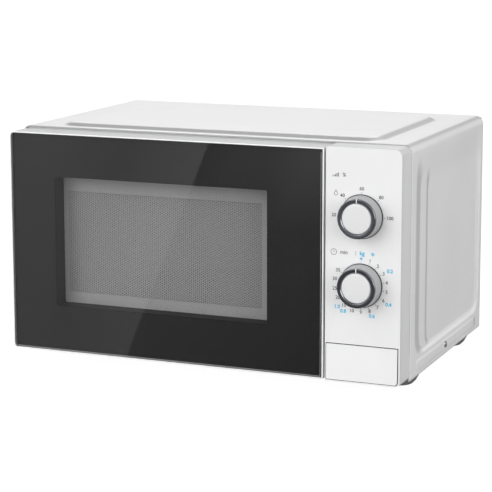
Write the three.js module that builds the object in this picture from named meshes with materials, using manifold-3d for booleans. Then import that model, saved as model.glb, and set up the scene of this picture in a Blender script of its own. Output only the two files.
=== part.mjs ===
// A countertop microwave oven with two dials and a push button, built as an assembly of its real pieces.
//
// Units are millimetres and +Z is up. Inside this file every piece is drawn from the oven's own datum:
// x = 0 is the middle of the cabinet, y = 0 is the front face of the door (+y runs to the rear), and
// z = 0 is the surface the feet stand on. The exported group moves that datum so that the origin is
// under the middle of the whole oven.

import * as THREE from 'three';
import { mergeVertices } from 'three/addons/utils/BufferGeometryUtils.js';
import Module from 'manifold-3d';

const wasm = await Module();
wasm.setup();

// ---------------------------------------------------------------- driving dimensions

const GAP = 0.3;                 // clearance between pieces that touch
const SHEET = 0.8;               // cabinet sheet steel
const LAP = 0.001;               // overlap of two solids before they are joined

const HALF_WIDTH = 220;          // cabinet half width
const CABINET_FRONT = 31;        // front edge of the cabinet, behind the door and the panel
const CABINET_REAR = 296.5;
const CABINET_BOTTOM = 13.9;
const CABINET_TOP = 255.6;
const FOLD_RADIUS = 8;           // where the top folds into the sides

const DOOR = { left: -220, right: 138.2, bottom: 16, top: 253.4, rear: 29, wall: 2.3, rim: 1.2 };
const GLASS = { left: -218.5, right: 136.7, bottom: 17.5, top: 251.9, front: 0.3, rear: 3.8 };
const WINDOW = { left: -168.5, right: 75.6, bottom: 65.9, top: 206.2 };
const SCREEN_FRONT = 25;         // perforated steel sheet at the back of the window recess
const HINGE = { x: -213, y: 15, pin: 2.5 };

const PANEL = { left: 140.5, right: 220, bottom: 15, top: 255, rear: 30.6, wall: 3 };
const BUTTON = { left: 141.8, right: 217.4, bottom: 17, top: 54.2 };
const PUSHER = { x: 151.5, z: 34 };  // rib behind the button that works the latch lever

const KNOB_X = 178.5;
const POWER_Z = 186.5;
const TIMER_Z = 116.5;
const KNOB = { base: 21.8, front: 20.2, cap: 15.4, depth: 16.5, shaft: 3 };

const CAVITY = { left: -200, right: 106, bottom: 33, top: 237, front: 32.1, rear: 283.2 };
const TRAY = { x: -47, y: 158, radius: 122.5, underside: 48.9 };
const ROLLER = { count: 3, ring: 95, radius: 7.5, width: 8 };

const HOOK = { x: 125, upper: 196, lower: 76, height: 8, lift: 4 };
const FAN = { x: 163, y: 278, z: 180, duct: 47, blade: 44 };
const FOOT = { x: 195.5, front: 75, rear: 257.5, top: 23, bottom: 15.5 };

const KNOB_FRONT = -KNOB.depth;
const REAR_BULGE = 5;            // pressed bulge of the rear panel
const REAR_FACE = CABINET_REAR + REAR_BULGE;

// ---------------------------------------------------------------- materials

const finish = (color, roughness, metalness, more = {}) =>
  new THREE.MeshStandardMaterial({ color, roughness, metalness, ...more });

const MATERIALS = {
  paintedSteel: finish(0xd2d4d8, 0.45, 0.1),
  cavityEnamel: finish(0xc9cbcd, 0.5, 0.1),
  galvanised: finish(0xa9adb0, 0.4, 0.8),
  whitePlastic: finish(0xeeeeee, 0.4, 0),
  greyPlastic: finish(0xb8babd, 0.4, 0),
  blackPlastic: finish(0x17181a, 0.5, 0),
  naturalPlastic: finish(0xe3dfd2, 0.5, 0),
  darkChrome: finish(0x5c636e, 0.2, 1),
  screenSteel: finish(0x8b8e92, 0.5, 0.6),
  doorGlass: finish(0x2a2d31, 0.05, 0, { transparent: true, opacity: 0.5 }),
  clearGlass: finish(0xdfe8e8, 0.05, 0, { transparent: true, opacity: 0.4 }),
  mica: finish(0xb59d76, 0.6, 0),
  rubber: finish(0x1b1b1c, 0.85, 0),
  copper: finish(0xa8602f, 0.4, 0.9),
  laminations: finish(0x54575b, 0.6, 0.7),
  aluminium: finish(0xc3c7ca, 0.35, 0.9),
  zincSteel: finish(0xb9bcc0, 0.3, 0.9),
  board: finish(0x8a6a32, 0.6, 0),
};

// ---------------------------------------------------------------- solid helpers

// Turns a closed three.js geometry into a solid that can be joined and cut.
function solidOf(geometry) {
  geometry.deleteAttribute('normal');
  geometry.deleteAttribute('uv');
  const merged = mergeVertices(geometry, 1e-4);
  return new wasm.Manifold(new wasm.Mesh({
    numProp: 3,
    vertProperties: new Float32Array(merged.attributes.position.array),
    triVerts: new Uint32Array(merged.index.array),
  }));
}

// Turns a solid back into a geometry that a mesh can show.
function geometryOf(solid) {
  const { vertProperties, triVerts } = solid.getMesh();
  const geometry = new THREE.BufferGeometry();
  geometry.setAttribute('position', new THREE.BufferAttribute(new Float32Array(vertProperties), 3));
  geometry.setIndex(new THREE.BufferAttribute(new Uint32Array(triVerts), 1));
  geometry.computeVertexNormals();
  return geometry;
}

const join = (...solids) => solids.reduce((whole, piece) => whole.add(piece));
const cut = (solid, ...tools) => tools.reduce((rest, tool) => rest.subtract(tool), solid);
const circleOf = (count, make) =>
  Array.from({ length: count }, (_, i) => make((i / count) * 2 * Math.PI));

function box(x0, x1, y0, y1, z0, z1) {
  const geometry = new THREE.BoxGeometry(x1 - x0, y1 - y0, z1 - z0);
  geometry.translate((x0 + x1) / 2, (y0 + y1) / 2, (z0 + z1) / 2);
  return solidOf(geometry);
}

// A round bar or cone between two stations of one axis ('x', 'y' or 'z') through the point (a, b) of
// the other two coordinates, in x, y, z order.
function rod(axis, a, b, from, to, radius, { end = radius, sides = 14 } = {}) {
  const geometry = new THREE.CylinderGeometry(end, radius, to - from, sides);
  const middle = (from + to) / 2;
  if (axis === 'x') {
    geometry.rotateZ(-Math.PI / 2);
    geometry.translate(middle, a, b);
  } else if (axis === 'y') {
    geometry.translate(a, middle, b);
  } else {
    geometry.rotateX(Math.PI / 2);
    geometry.translate(a, b, middle);
  }
  return solidOf(geometry);
}

// A rectangle with its own radius at each corner: [left-bottom, right-bottom, right-top, left-top].
function roundedRect(u0, u1, v0, v1, radii) {
  const [a, b, c, d] = Array.isArray(radii) ? radii : [radii, radii, radii, radii];
  const shape = new THREE.Shape();
  shape.moveTo(u0 + a, v0);
  shape.lineTo(u1 - b, v0);
  shape.absarc(u1 - b, v0 + b, b, -Math.PI / 2, 0);
  shape.lineTo(u1, v1 - c);
  shape.absarc(u1 - c, v1 - c, c, 0, Math.PI / 2);
  shape.lineTo(u0 + d, v1);
  shape.absarc(u0 + d, v1 - d, d, Math.PI / 2, Math.PI);
  shape.lineTo(u0, v0 + a);
  shape.absarc(u0 + a, v0 + a, a, Math.PI, Math.PI * 1.5);
  return shape;
}

function polygon(points) {
  return new THREE.Shape(points.map(([u, v]) => new THREE.Vector2(u, v)));
}

// Extrudes a shape drawn in x-z along y, in y-z along x, or in x-y along z.
function prism(axis, shape, from, to, curveSegments = 2) {
  const options = { depth: to - from, bevelEnabled: false, curveSegments };
  const geometry = new THREE.ExtrudeGeometry(shape, options);
  orient(geometry, axis, from, to);
  return solidOf(geometry);
}

function orient(geometry, axis, from, to) {
  if (axis === 'y') {
    geometry.rotateX(Math.PI / 2);
    geometry.translate(0, to, 0);
  } else if (axis === 'x') {
    geometry.rotateX(Math.PI / 2);
    geometry.rotateZ(Math.PI / 2);
    geometry.translate(from, 0, 0);
  } else {
    geometry.translate(0, 0, from);
  }
}

// A pressing with sloping sides: the rounded rectangle `outer` at station 0 shrinks to the rectangle
// `inner` at `height`. Both are { u0, u1, v0, v1 }.
function pressing(outer, radii, inner, height) {
  const shape = roundedRect(outer.u0, outer.u1, outer.v0, outer.v1, radii);
  const options = { depth: height, bevelEnabled: false, curveSegments: 2 };
  const geometry = new THREE.ExtrudeGeometry(shape, options);
  const place = geometry.attributes.position;
  const scaleU = (inner.u1 - inner.u0) / (outer.u1 - outer.u0);
  const scaleV = (inner.v1 - inner.v0) / (outer.v1 - outer.v0);
  for (let i = 0; i < place.count; i += 1) {
    if (place.getZ(i) > height / 2) {
      place.setX(i, inner.u0 + (place.getX(i) - outer.u0) * scaleU);
      place.setY(i, inner.v0 + (place.getY(i) - outer.v0) * scaleV);
    }
  }
  return geometry;
}

// A body of revolution: the profile is a list of [radius, height] and turns about the given axis, with
// height growing along +axis.
function turned(axis, a, b, profile, segments = 24) {
  const geometry = new THREE.LatheGeometry(profile.map(([r, h]) => new THREE.Vector2(r, h)), segments);
  if (axis === 'x') {
    geometry.rotateZ(-Math.PI / 2);
    geometry.translate(0, a, b);
  } else if (axis === 'y') {
    geometry.translate(a, 0, b);
  } else {
    geometry.rotateX(Math.PI / 2);
    geometry.translate(a, b, 0);
  }
  return solidOf(geometry);
}

class Helix extends THREE.Curve {
  constructor(start, direction, radius, length, turns) {
    super();
    Object.assign(this, { start, direction, radius, length, turns });
  }

  getPoint(t, target = new THREE.Vector3()) {
    const turn = t * this.turns * 2 * Math.PI;
    const across = this.radius * Math.cos(turn);
    const up = this.radius * Math.sin(turn);
    const along = this.length * t;
    if (this.direction === 'y') {
      target.set(across, along, up);
    } else {
      target.set(across, up, along);
    }
    return target.add(this.start);
  }
}

// A round-wire coil spring along y or z.
function coilSpring(start, direction, radius, length, turns, wire) {
  const shape = new THREE.Shape();
  shape.absarc(0, 0, wire, 0, 2 * Math.PI);
  const path = new Helix(new THREE.Vector3(...start), direction, radius, length, turns);
  return solidOf(new THREE.ExtrudeGeometry(shape, {
    extrudePath: path,
    steps: turns * 8,
    curveSegments: 2,
    bevelEnabled: false,
  }));
}

// ---------------------------------------------------------------- cabinet shell

const SIDE_RECESS = {
  outer: { u0: 46, u1: 289, v0: 34, v1: 244 },
  inner: { u0: 65, u1: 285.5, v0: 36.8, v1: 206 },
  radii: [22, 22, 22, 22],
  depth: 1.6,
};
const SIDE_FLOOR = {
  outer: { u0: 86, u1: 283, v0: 37.4, v1: 216 },
  inner: { u0: 95, u1: 280, v0: 40.5, v1: 200 },
  radii: [14, 14, 14, 14],
  depth: 0.9,
};
const SIDE_STRIP = {
  outer: { u0: 52, u1: 277, v0: 18.6, v1: 30.4 },
  inner: { u0: 53.4, u1: 275.6, v0: 20, v1: 29 },
  radii: [5.5, 5.5, 5.5, 5.5],
  depth: 0.8,
};
const TOP_PANEL = {
  outer: { u0: -184, u1: 184, v0: 40, v1: 251 },
  inner: { u0: -174, u1: 174, v0: 48, v1: 249.5 },
  radii: [22, 22, 3, 3],
  depth: 3.5,
};

// One side pressing, cut inwards or raised outwards from the cabinet side at +x or -x. `level` is how
// far inside the outer face the pressing starts.
function sidePressing(side, { outer, inner, radii, depth }, level, outwards) {
  const geometry = pressing(outer, radii, inner, depth);
  orient(geometry, 'x', 0, depth);
  if (outwards !== (side > 0)) {
    geometry.scale(-1, 1, 1);
    flipFaces(geometry);
  }
  geometry.translate(side * (HALF_WIDTH - level), 0, 0);
  return solidOf(geometry);
}

function flipFaces(geometry) {
  const place = geometry.attributes.position.array;
  for (let i = 0; i < place.length; i += 9) {
    for (let k = 0; k < 3; k += 1) {
      [place[i + 3 + k], place[i + 6 + k]] = [place[i + 6 + k], place[i + 3 + k]];
    }
  }
}

// The cabinet's block with every pressing, offset inwards by `inset`; the cover is the difference of
// two such blocks.
function cabinetBlock(inset, from, to) {
  const side = HALF_WIDTH - inset;
  const fold = FOLD_RADIUS - inset;
  const outline = roundedRect(-side, side, 0, CABINET_TOP - inset, [0.01, 0.01, fold, fold]);
  let block = prism('y', outline, from, to, 3);
  const top = pressing(TOP_PANEL.outer, TOP_PANEL.radii, TOP_PANEL.inner, TOP_PANEL.depth);
  top.translate(0, 0, CABINET_TOP - inset - LAP);
  block = block.add(solidOf(top));
  for (const hand of [-1, 1]) {
    block = block
      .subtract(sidePressing(hand, SIDE_RECESS, inset - LAP, false))
      .subtract(sidePressing(hand, SIDE_FLOOR, inset + SIDE_RECESS.depth - 2 * LAP, false))
      .add(sidePressing(hand, SIDE_STRIP, inset + LAP, true));
  }
  return block;
}

const COVER_SCREW = { y: 156.5, z: 24.5, hole: 2.3, slot: 2.4 };

// One drill through both sides of the cabinet for the two cover screws.
function coverScrewHole() {
  const { y, z, hole } = COVER_SCREW;
  return rod('x', y, z, -300, 300, hole, { sides: 12 });
}

function outerCover() {
  const below = box(-300, 300, 0, 400, -10, CABINET_BOTTOM);
  const hole = coverScrewHole();
  const inside = cabinetBlock(SHEET, CABINET_FRONT - 5, CABINET_REAR + 5);
  return cut(cabinetBlock(0, CABINET_FRONT, CABINET_REAR), inside, below, hole);
}

function coverScrew(side) {
  const proud = HALF_WIDTH + SIDE_STRIP.depth + GAP;
  const head = [[0, -8], [1.9, -8], [1.9, 0], [4, 0], [3.9, 0.9], [2.8, 1.8], [0, 2]];
  const { y, z, slot } = COVER_SCREW;
  const driverSlot = box(1, 3, y - slot, y + slot, z - 0.5, z + 0.5);
  const screw = cut(turned('x', y, z, head, 12), driverSlot);
  return side > 0 ? screw.translate([proud, 0, 0]) : screw.mirror([1, 0, 0]).translate([-proud, 0, 0]);
}

const BASE = { bottom: 14.2, top: 15, edge: HALF_WIDTH - SHEET - GAP };

function basePlate() {
  const { bottom, top, edge } = BASE;
  const front = CABINET_FRONT + 0.2 + SHEET + GAP;
  const rear = CABINET_REAR - 2;
  const sheet = box(-edge, edge, front, rear, bottom, top);
  const flanges = [-1, 1].map((side) => {
    const face = side * edge;
    const back = side * (edge - SHEET);
    return box(Math.min(face, back), Math.max(face, back), front + 8, rear, bottom, 34);
  });
  const feetHoles = footPlaces().map(([x, y]) => rod('z', x, y, 0, 40, 4.3, { sides: 10 }));
  const vents = Array.from({ length: 7 }, (_, i) => box(118 + i * 12, 124 + i * 12, 190, 232, 0, 40));
  const screwHole = coverScrewHole();
  return cut(join(sheet, ...flanges), ...feetHoles, ...vents, screwHole);
}

function footPlaces() {
  return [-1, 1].flatMap((side) => [FOOT.front, FOOT.rear].map((y) => [side * FOOT.x, y]));
}

function foot(x, y) {
  const top = BASE.bottom - GAP;
  const profile = [
    [0, 0], [FOOT.bottom - 1.5, 0], [FOOT.bottom, 1.2], [FOOT.bottom + 2.6, 4],
    [FOOT.top, top - 1], [FOOT.top, top], [4, top], [4, 22], [0, 22],
  ];
  return turned('z', x, y, profile, 16);
}

const GLAND = { x: 176, z: 60, radius: 8, bore: 4 };
const REAR_SLOTS = { left: 118, right: 206, bottom: 146, pitch: 9.5, height: 4.5, count: 8 };

function rearPanel() {
  const edge = HALF_WIDTH - SHEET - GAP;
  const low = 15.3;
  const high = CABINET_TOP - SHEET - GAP;
  const front = CABINET_REAR - 1.3;
  const outline = roundedRect(-edge, edge, low, high, [1, 1, FOLD_RADIUS, FOLD_RADIUS]);
  const bulge = (inset) => {
    const outer = { u0: -196 + inset, u1: 98 - inset, v0: 40 + inset, v1: 236 - inset };
    const inner = { u0: outer.u0 + 8, u1: outer.u1 - 8, v0: outer.v0 + 8, v1: outer.v1 - 8 };
    const geometry = pressing(outer, 14, inner, REAR_BULGE);
    geometry.rotateX(Math.PI / 2);
    geometry.scale(1, -1, 1);
    flipFaces(geometry);
    geometry.translate(0, front + (inset ? 0 : SHEET) - LAP, 0);
    return solidOf(geometry);
  };
  const slots = Array.from({ length: REAR_SLOTS.count }, (_, i) => {
    const z = REAR_SLOTS.bottom + i * REAR_SLOTS.pitch;
    return box(REAR_SLOTS.left, REAR_SLOTS.right, front - 5, front + 15, z, z + REAR_SLOTS.height);
  });
  const gland = rod('y', GLAND.x, GLAND.z, front - 5, front + 15, GLAND.radius + GAP + 0.3, { sides: 14 });
  const plate = join(prism('y', outline, front, front + SHEET), bulge(0));
  return cut(plate, bulge(SHEET), ...slots, gland);
}

// The bush that the supply cord would pass through.
function cordGland() {
  const sheet = CABINET_REAR - 1.3;
  const { radius, bore } = GLAND;
  const profile = [
    [bore, -6], [radius + 2, -6], [radius + 2, -GAP], [radius, -GAP], [radius, SHEET + GAP],
    [radius + 2.4, SHEET + GAP], [radius + 1.6, 3], [bore + 1, 3.6], [bore, 3.4], [bore, -6],
  ];
  return turned('y', GLAND.x, GLAND.z, profile, 14).translate([0, sheet, 0]);
}

function frontPlate() {
  const left = -HALF_WIDTH + SHEET + GAP;
  const outline = roundedRect(left, 138, 15.3, CABINET_TOP - SHEET - GAP, [1, 1, 1, FOLD_RADIUS]);
  outline.holes.push(roundedRect(CAVITY.left + 1, CAVITY.right - 1, CAVITY.bottom + 1, CAVITY.top - 1, 8));
  const plate = prism('y', outline, CABINET_FRONT + 0.2, CABINET_FRONT + 0.2 + SHEET);
  return cut(plate, ...latchSlots(CABINET_FRONT - 5, CABINET_FRONT + 5, 2), ...hingeSlots());
}

// Openings that both hooks pass through, with room for their lift.
function latchSlots(from, to, margin) {
  const side = 4 + margin;
  return [HOOK.upper, HOOK.lower].map((z) =>
    box(HOOK.x - side, HOOK.x + side, from, to, z - side, z + HOOK.height + HOOK.lift + margin));
}

const UPPER_ARM = { bottom: 249.9, top: 250.8 };
const LOWER_ARM = { bottom: 18.6, top: 19.5 };

function hingeSlots() {
  return [UPPER_ARM, LOWER_ARM].map(({ bottom, top }) =>
    box(-218.8, -208, CABINET_FRONT - 5, CABINET_FRONT + 5, bottom - 0.5, top + 0.5));
}

// A hinge arm reaches through the front plate into the door's corner; its pin carries the door.
function hinge({ bottom, top }, pinUp) {
  const back = CABINET_FRONT + 0.2 + SHEET + GAP;
  const [left, right] = [-218.4, -208.4];
  const plan = roundedRect(left, right, HINGE.y - 5, back + SHEET, [4.9, 4.9, 0.1, 0.1]);
  const arm = prism('z', plan, bottom, top);
  const flange = pinUp
    ? box(left, right, back, back + SHEET, bottom, bottom + 18)
    : box(left, right, back, back + SHEET, top - 18, top);
  const pin = pinUp
    ? rod('z', HINGE.x, HINGE.y, bottom, top + 6.5, HINGE.pin, { sides: 16 })
    : rod('z', HINGE.x, HINGE.y, bottom - 6.5, top, HINGE.pin, { sides: 16 });
  return join(arm, flange, pin);
}

// ---------------------------------------------------------------- cooking cavity

const WAVEGUIDE = { y0: 110, y1: 206, z0: 165, z1: 215, depth: 28 };

function ovenCavity() {
  const { left, right, bottom, top, front, rear } = CAVITY;
  const radius = 6;
  const outer = roundedRect(left - SHEET, right + SHEET, bottom - SHEET, top + SHEET, radius + SHEET);
  const inner = roundedRect(left, right, bottom, top, radius);
  const shaftHole = rod('z', TRAY.x, TRAY.y, bottom - 5, bottom + 5, 7, { sides: 16 });
  const port = box(right - 5, right + 5, 122, 194, 174, 206);
  const lampHole = box(right - 5, right + 5, 66, 84, 196, 212);
  const tub = cut(prism('y', outer, front, rear), prism('y', inner, front - 5, rear - SHEET));
  return cut(tub, shaftHole, port, lampHole);
}

function waveguide() {
  const { y0, y1, z0, z1, depth } = WAVEGUIDE;
  const from = CAVITY.right + SHEET + GAP;
  const shell = box(from, from + depth, y0, y1, z0, z1);
  const inside = box(from - 1, from + depth - SHEET, y0 + SHEET, y1 - SHEET, z0 + SHEET, z1 - SHEET);
  const antennaHole = rod('x', MAGNETRON.y, MAGNETRON.z, from, from + depth + 5, MAGNETRON.antenna + 1.5);
  return cut(shell, inside, antennaHole);
}

function waveguideCover() {
  const face = CAVITY.right - 0.4;
  return prism('x', roundedRect(115, 201, 168, 212, 3), face - 0.6, face, 3);
}

function cavityLamp() {
  const from = CAVITY.right + SHEET + GAP;
  const holder = box(from, from + 26, 60, 90, 188, 220);
  const inside = box(from - 1, from + 20, 64, 86, 192, 216);
  const envelope = [[0, 3], [5, 4], [7.5, 9], [6, 15], [5, 22], [0, 22]];
  const bulb = turned('x', 75, 204, envelope, 14).translate([from, 0, 0]);
  return join(cut(holder, inside), bulb);
}

function thermalCutout() {
  const base = CAVITY.top + SHEET + GAP;
  const profile = [
    [0, base], [11, base], [11, base + 1], [8, base + 1], [8, base + 9], [0, base + 9],
  ];
  return turned('z', -20, 200, profile, 18);
}

// ---------------------------------------------------------------- microwave generator and electrics

const MAGNETRON = { x0: 135.5, x1: 199, y: 158, z: 190, half: 40, antenna: 8 };

function magnetronYoke() {
  const { x0, x1, y, z, half } = MAGNETRON;
  const wall = 1.5;
  const shell = box(x0, x1, y - half, y + half, z - half, z + half);
  const tunnel = box(x0 + wall, x1 - wall, y - half - 1, y + half + 1, z - half + wall, z + half - wall);
  const bore = rod('x', y, z, x0 - 5, x0 + 5, MAGNETRON.antenna + 1.5);
  return cut(shell, tunnel, bore);
}

function magnetronAnode() {
  const { x0, x1, y, z, half, antenna } = MAGNETRON;
  const reach = half - 3;
  const anode = rod('x', y, z, x0 + 6, x1 - 2, 19);
  const stem = rod('x', y, z, x0 - 18, x0 + 8, antenna, { end: antenna });
  const fins = Array.from({ length: 5 }, (_, i) => {
    const x = x0 + 12 + i * 10;
    return box(x, x + 1, y - reach, y + reach, z - reach, z + reach);
  });
  return join(anode, stem, ...fins);
}

const TRANSFORMER = { x: 163, y: 195, base: 15.3, stack: 30, half: 48, height: 80, leg: 16, window: 24 };

function transformerCore() {
  const { x, y, base, stack, half, height, leg, window } = TRANSFORMER;
  const middle = base + height / 2;
  const block = box(x - stack, x + stack, y - half, y + half, base, base + height);
  const windows = [-1, 1].map((side) => {
    const near = y + side * leg;
    const far = y + side * (half - leg);
    return box(x - 99, x + 99, Math.min(near, far), Math.max(near, far), middle - window, middle + window);
  });
  return cut(block, ...windows);
}

function transformerWinding(from, to, overhang) {
  const { x, y, base, stack, height, leg, half } = TRANSFORMER;
  const middle = base + height / 2;
  const outer = half - leg - GAP;
  const ring = roundedRect(x - stack - overhang, x + stack + overhang, y - outer, y + outer, 7);
  ring.holes.push(roundedRect(x - stack - GAP, x + stack + GAP, y - leg - GAP, y + leg + GAP, 0.5));
  return prism('z', ring, middle + from, middle + to);
}

const CAPACITOR = { x: 161, y: 266, bottom: 15.6, top: 98, width: 26, thick: 15 };

function capacitor() {
  const { x, y, bottom, top, width, thick } = CAPACITOR;
  const outline = roundedRect(x - width, x + width, y - thick, y + thick, thick - 0.5);
  const can = prism('z', outline, bottom, top, 6);
  const terminals = [-9, 9].map((dx) => box(x + dx - 3, x + dx + 3, y - 0.4, y + 0.4, top - 1, top + 10));
  return join(can, ...terminals);
}

function fanShroud() {
  const { x, y, z, duct } = FAN;
  const half = 50;
  const front = y - 10;
  const rear = y + 12;
  const outline = roundedRect(x - half, x + half, z - half, z + half, 4);
  const hole = new THREE.Path();
  hole.absarc(x, z, duct, 0, 2 * Math.PI);
  outline.holes.push(hole);
  const frame = prism('y', outline, front, rear, 9);
  const beam = box(x - 8, x + 8, front - 3, front + 1, z - half, z + half);
  const shaftHole = rod('y', x, z, front - 9, front + 9, 7, { sides: 14 });
  return cut(join(frame, beam), shaftHole);
}

function fanMotor() {
  const { x, y, z } = FAN;
  const front = y - 38;
  const rear = y - 10 - 3 - GAP;
  const stack = box(x - 26, x + 26, front + 6, rear - 4, z - 24, z + 30);
  const coil = prism('z', roundedRect(x - 15, x + 15, front, rear - 0.5, 5), z - 44, z - 24 + 1);
  const bridge = box(x - 30, x + 30, rear - 4, rear, z - 7, z + 7);
  const bore = rod('y', x, z, front + 9, rear + 5, 2.6, { sides: 14 });
  return cut(join(stack, coil, bridge), bore);
}

function fanBlade() {
  const { x, y, z, blade } = FAN;
  const hub = rod('y', x, z, y - 6, y + 9, 13, { end: 11 });
  const shaft = rod('y', x, z, y - 26, y, 2, { sides: 12 });
  const blades = circleOf(5, (turn) => {
    const geometry = new THREE.BoxGeometry(blade - 9, 1.4, 24);
    geometry.rotateX(0.55);
    geometry.translate((blade + 9) / 2, 0, 0);
    geometry.rotateY(turn);
    geometry.translate(x, y + 1.5, z);
    return solidOf(geometry);
  });
  return join(hub, shaft, ...blades);
}

function fuseBoard() {
  const board = box(128, 206, 42, 112, 228, 229.6);
  const fuse = rod('x', 60, 234, 140, 176, 3.2, { sides: 12 });
  const clips = [142, 170].map((x) => box(x, x + 4, 56, 64, 229, 233));
  const choke = box(182, 200, 50, 78, 229, 247);
  const blocks = [84, 98].map((y) => box(136, 164, y, y + 9, 229, 241));
  return join(board, fuse, ...clips, choke, ...blocks);
}

// ---------------------------------------------------------------- latch and switches

const BRACKET = { front: 33, back: 35.5, wall: 145.5, rear: 64 };
const LEVER = { x: 150, y: 52, z: 66, thick: 3 };

function interlockBracket() {
  const { front, back, wall, rear } = BRACKET;
  const plate = box(112, wall, front, back, 56, 226);
  const side = box(wall - 2.5, wall, front, rear, 74, 226);
  const lug = box(wall - 2.5, wall, front, 58, 56, 75);
  const pin = rod('x', LEVER.y, LEVER.z, wall - 1, LEVER.x + LEVER.thick + 2, 2.4, { sides: 14 });
  const catches = [HOOK.upper, HOOK.lower].map((z) => box(114, wall, back - 1, rear - 4, z - 14, z - 11));
  return cut(join(plate, side, lug, pin, ...catches), ...latchSlots(front - 5, back + 0.1, 2));
}

function microswitch(z) {
  const { back } = BRACKET;
  const body = box(130.8, 142.6, back + GAP, back + 20, z, z + 26);
  const plunger = box(128, 131, back + 8, back + 11, z + 5, z + 8);
  const tabs = [3, 12, 20].map((dz) => box(133, 139, back + 19, back + 26, z + dz, z + dz + 1));
  return join(body, plunger, ...tabs);
}

function latchLever() {
  const { x, y, z, thick } = LEVER;
  const outline = polygon([
    [y - 6, z + 4], [y - 6, z - 12], [38.6, 40], [36.4, 38], [36.4, 28], [40, 28], [43, 36],
    [y + 1, z - 10], [y + 8, z - 6], [y + 16, z - 4], [y + 16, z + 1], [y + 6, z + 5], [y, z + 7],
  ]);
  const plate = prism('x', outline, x, x + thick);
  const arm = box(120, x + 1, y + 11.5, y + 16, z - 4, z + 1);
  return cut(join(plate, arm), rod('x', y, z, x - 1, x + thick + 1, 2.7, { sides: 14 }));
}

// ---------------------------------------------------------------- control panel

function controlPanel() {
  const { left, right, bottom, top, rear, wall } = PANEL;
  const outer = roundedRect(left, right, bottom, top, [0.6, 4.5, 7, 0.6]);
  const inner = roundedRect(left + 1, right - 2, bottom + 1.6, top - 2, [0.4, 3, 5, 0.4]);
  const shell = cut(prism('y', outer, 0, rear), prism('y', inner, wall, rear + 5));
  const shelf = box(left + 0.5, right - 1, 1, rear - 8, BUTTON.top + 1, BUTTON.top + 3);
  const pocket = box(left + 0.5, right - 1, 17, 19, bottom + 1, BUTTON.top + 2);
  const gap = 0.5;
  const opening = roundedRect(
    BUTTON.left - gap,
    BUTTON.right + gap,
    BUTTON.bottom - gap,
    BUTTON.top + gap,
    [0.5, 3.2, 0.5, 0.5],
  );
  const shaftHoles = [POWER_Z, TIMER_Z].map((z) => rod('y', KNOB_X, z, -5, 8, 4.2, { sides: 16 }));
  const guide = box(PUSHER.x - 2.6, PUSHER.x + 2.6, 12, 25, PUSHER.z - 7, PUSHER.z + 7);
  return cut(join(shell, shelf, pocket), prism('y', opening, -5, wall + 1), ...shaftHoles, guide);
}

function releaseButton() {
  const { left, right, bottom, top } = BUTTON;
  const face = prism('y', roundedRect(left, right, bottom, top, [0.6, 3, 0.6, 0.6]), 0, 9);
  const hollow = box(left + 1.6, right - 1.6, 2.6, 12, bottom + 1.6, top - 1.6);
  const pusher = box(PUSHER.x - 2, PUSHER.x + 2, 2, 35.9, PUSHER.z - 6, PUSHER.z + 6);
  return join(cut(face, hollow), pusher);
}

function buttonSpring() {
  return coilSpring([186, 3.9, 35], 'y', 4.5, 12, 5, 0.6);
}

function timerUnit() {
  const { wall } = PANEL;
  const front = wall + GAP;
  const body = box(153.5, 204, front + 3, 42, 92, 212);
  const faces = [POWER_Z, TIMER_Z].map((z) => rod('y', KNOB_X, z, front, front + 4, 12, { sides: 16 }));
  const bell = rod('y', KNOB_X + 4, 152, 41, 48, 17, { end: 13, sides: 16 });
  const tabs = [100, 130, 165, 195].map((z) => box(160, 166, 41, 50, z, z + 1));
  const bores = [POWER_Z, TIMER_Z].map((z) => rod('y', KNOB_X, z, front - 5, front + 16, KNOB.shaft + 0.3));
  return cut(join(body, ...faces, bell, ...tabs), ...bores);
}

function controlShaft(z) {
  const stem = rod('y', KNOB_X, z, -11, 18, KNOB.shaft);
  return cut(stem, box(KNOB_X - 4, KNOB_X + 4, -12, -1, z + 1.6, z + 5));
}

function knobBody(z) {
  const { base, front, cap, shaft } = KNOB;
  const ringSeat = KNOB_FRONT + 2.7;
  const bore = shaft + GAP;
  const profile = [
    [bore, -0.6], [bore, ringSeat + 3], [cap + 0.2, ringSeat + 3], [cap + 0.2, ringSeat], [front, ringSeat],
    [base - 0.5, -2], [base, -1.6], [base, -0.6], [bore, -0.6],
  ];
  return turned('y', KNOB_X, z, profile, 24);
}

function knobRing(z) {
  const { front, cap } = KNOB;
  const seat = KNOB_FRONT + 2.7 - GAP;
  const profile = [
    [cap + 0.3, seat], [front, seat], [front, KNOB_FRONT + 1], [front - 0.9, KNOB_FRONT],
    [cap + 1, KNOB_FRONT], [cap + 0.3, KNOB_FRONT + 0.5], [cap + 0.3, seat],
  ];
  const notch = box(KNOB_X - 1, KNOB_X + 1, KNOB_FRONT - 1, KNOB_FRONT + 0.8, z + cap + 1, z + front + 1);
  return cut(turned('y', KNOB_X, z, profile.reverse(), 28), notch);
}

function knobCap(z) {
  const { cap } = KNOB;
  const back = KNOB_FRONT + 2.7 + 3 - GAP;
  const profile = [
    [0, back], [cap, back], [cap, KNOB_FRONT + 1.1], [cap - 0.8, KNOB_FRONT + 0.4], [0, KNOB_FRONT + 0.2],
  ];
  return turned('y', KNOB_X, z, profile.reverse(), 24);
}

// ---------------------------------------------------------------- door

// The corner notches that let the door turn round its hinge arms.
function doorNotches() {
  return [UPPER_ARM, LOWER_ARM].map(({ bottom, top }) =>
    box(-225, -202, 4.8, DOOR.rear + 5, bottom - 0.4, top + 0.4));
}

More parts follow.
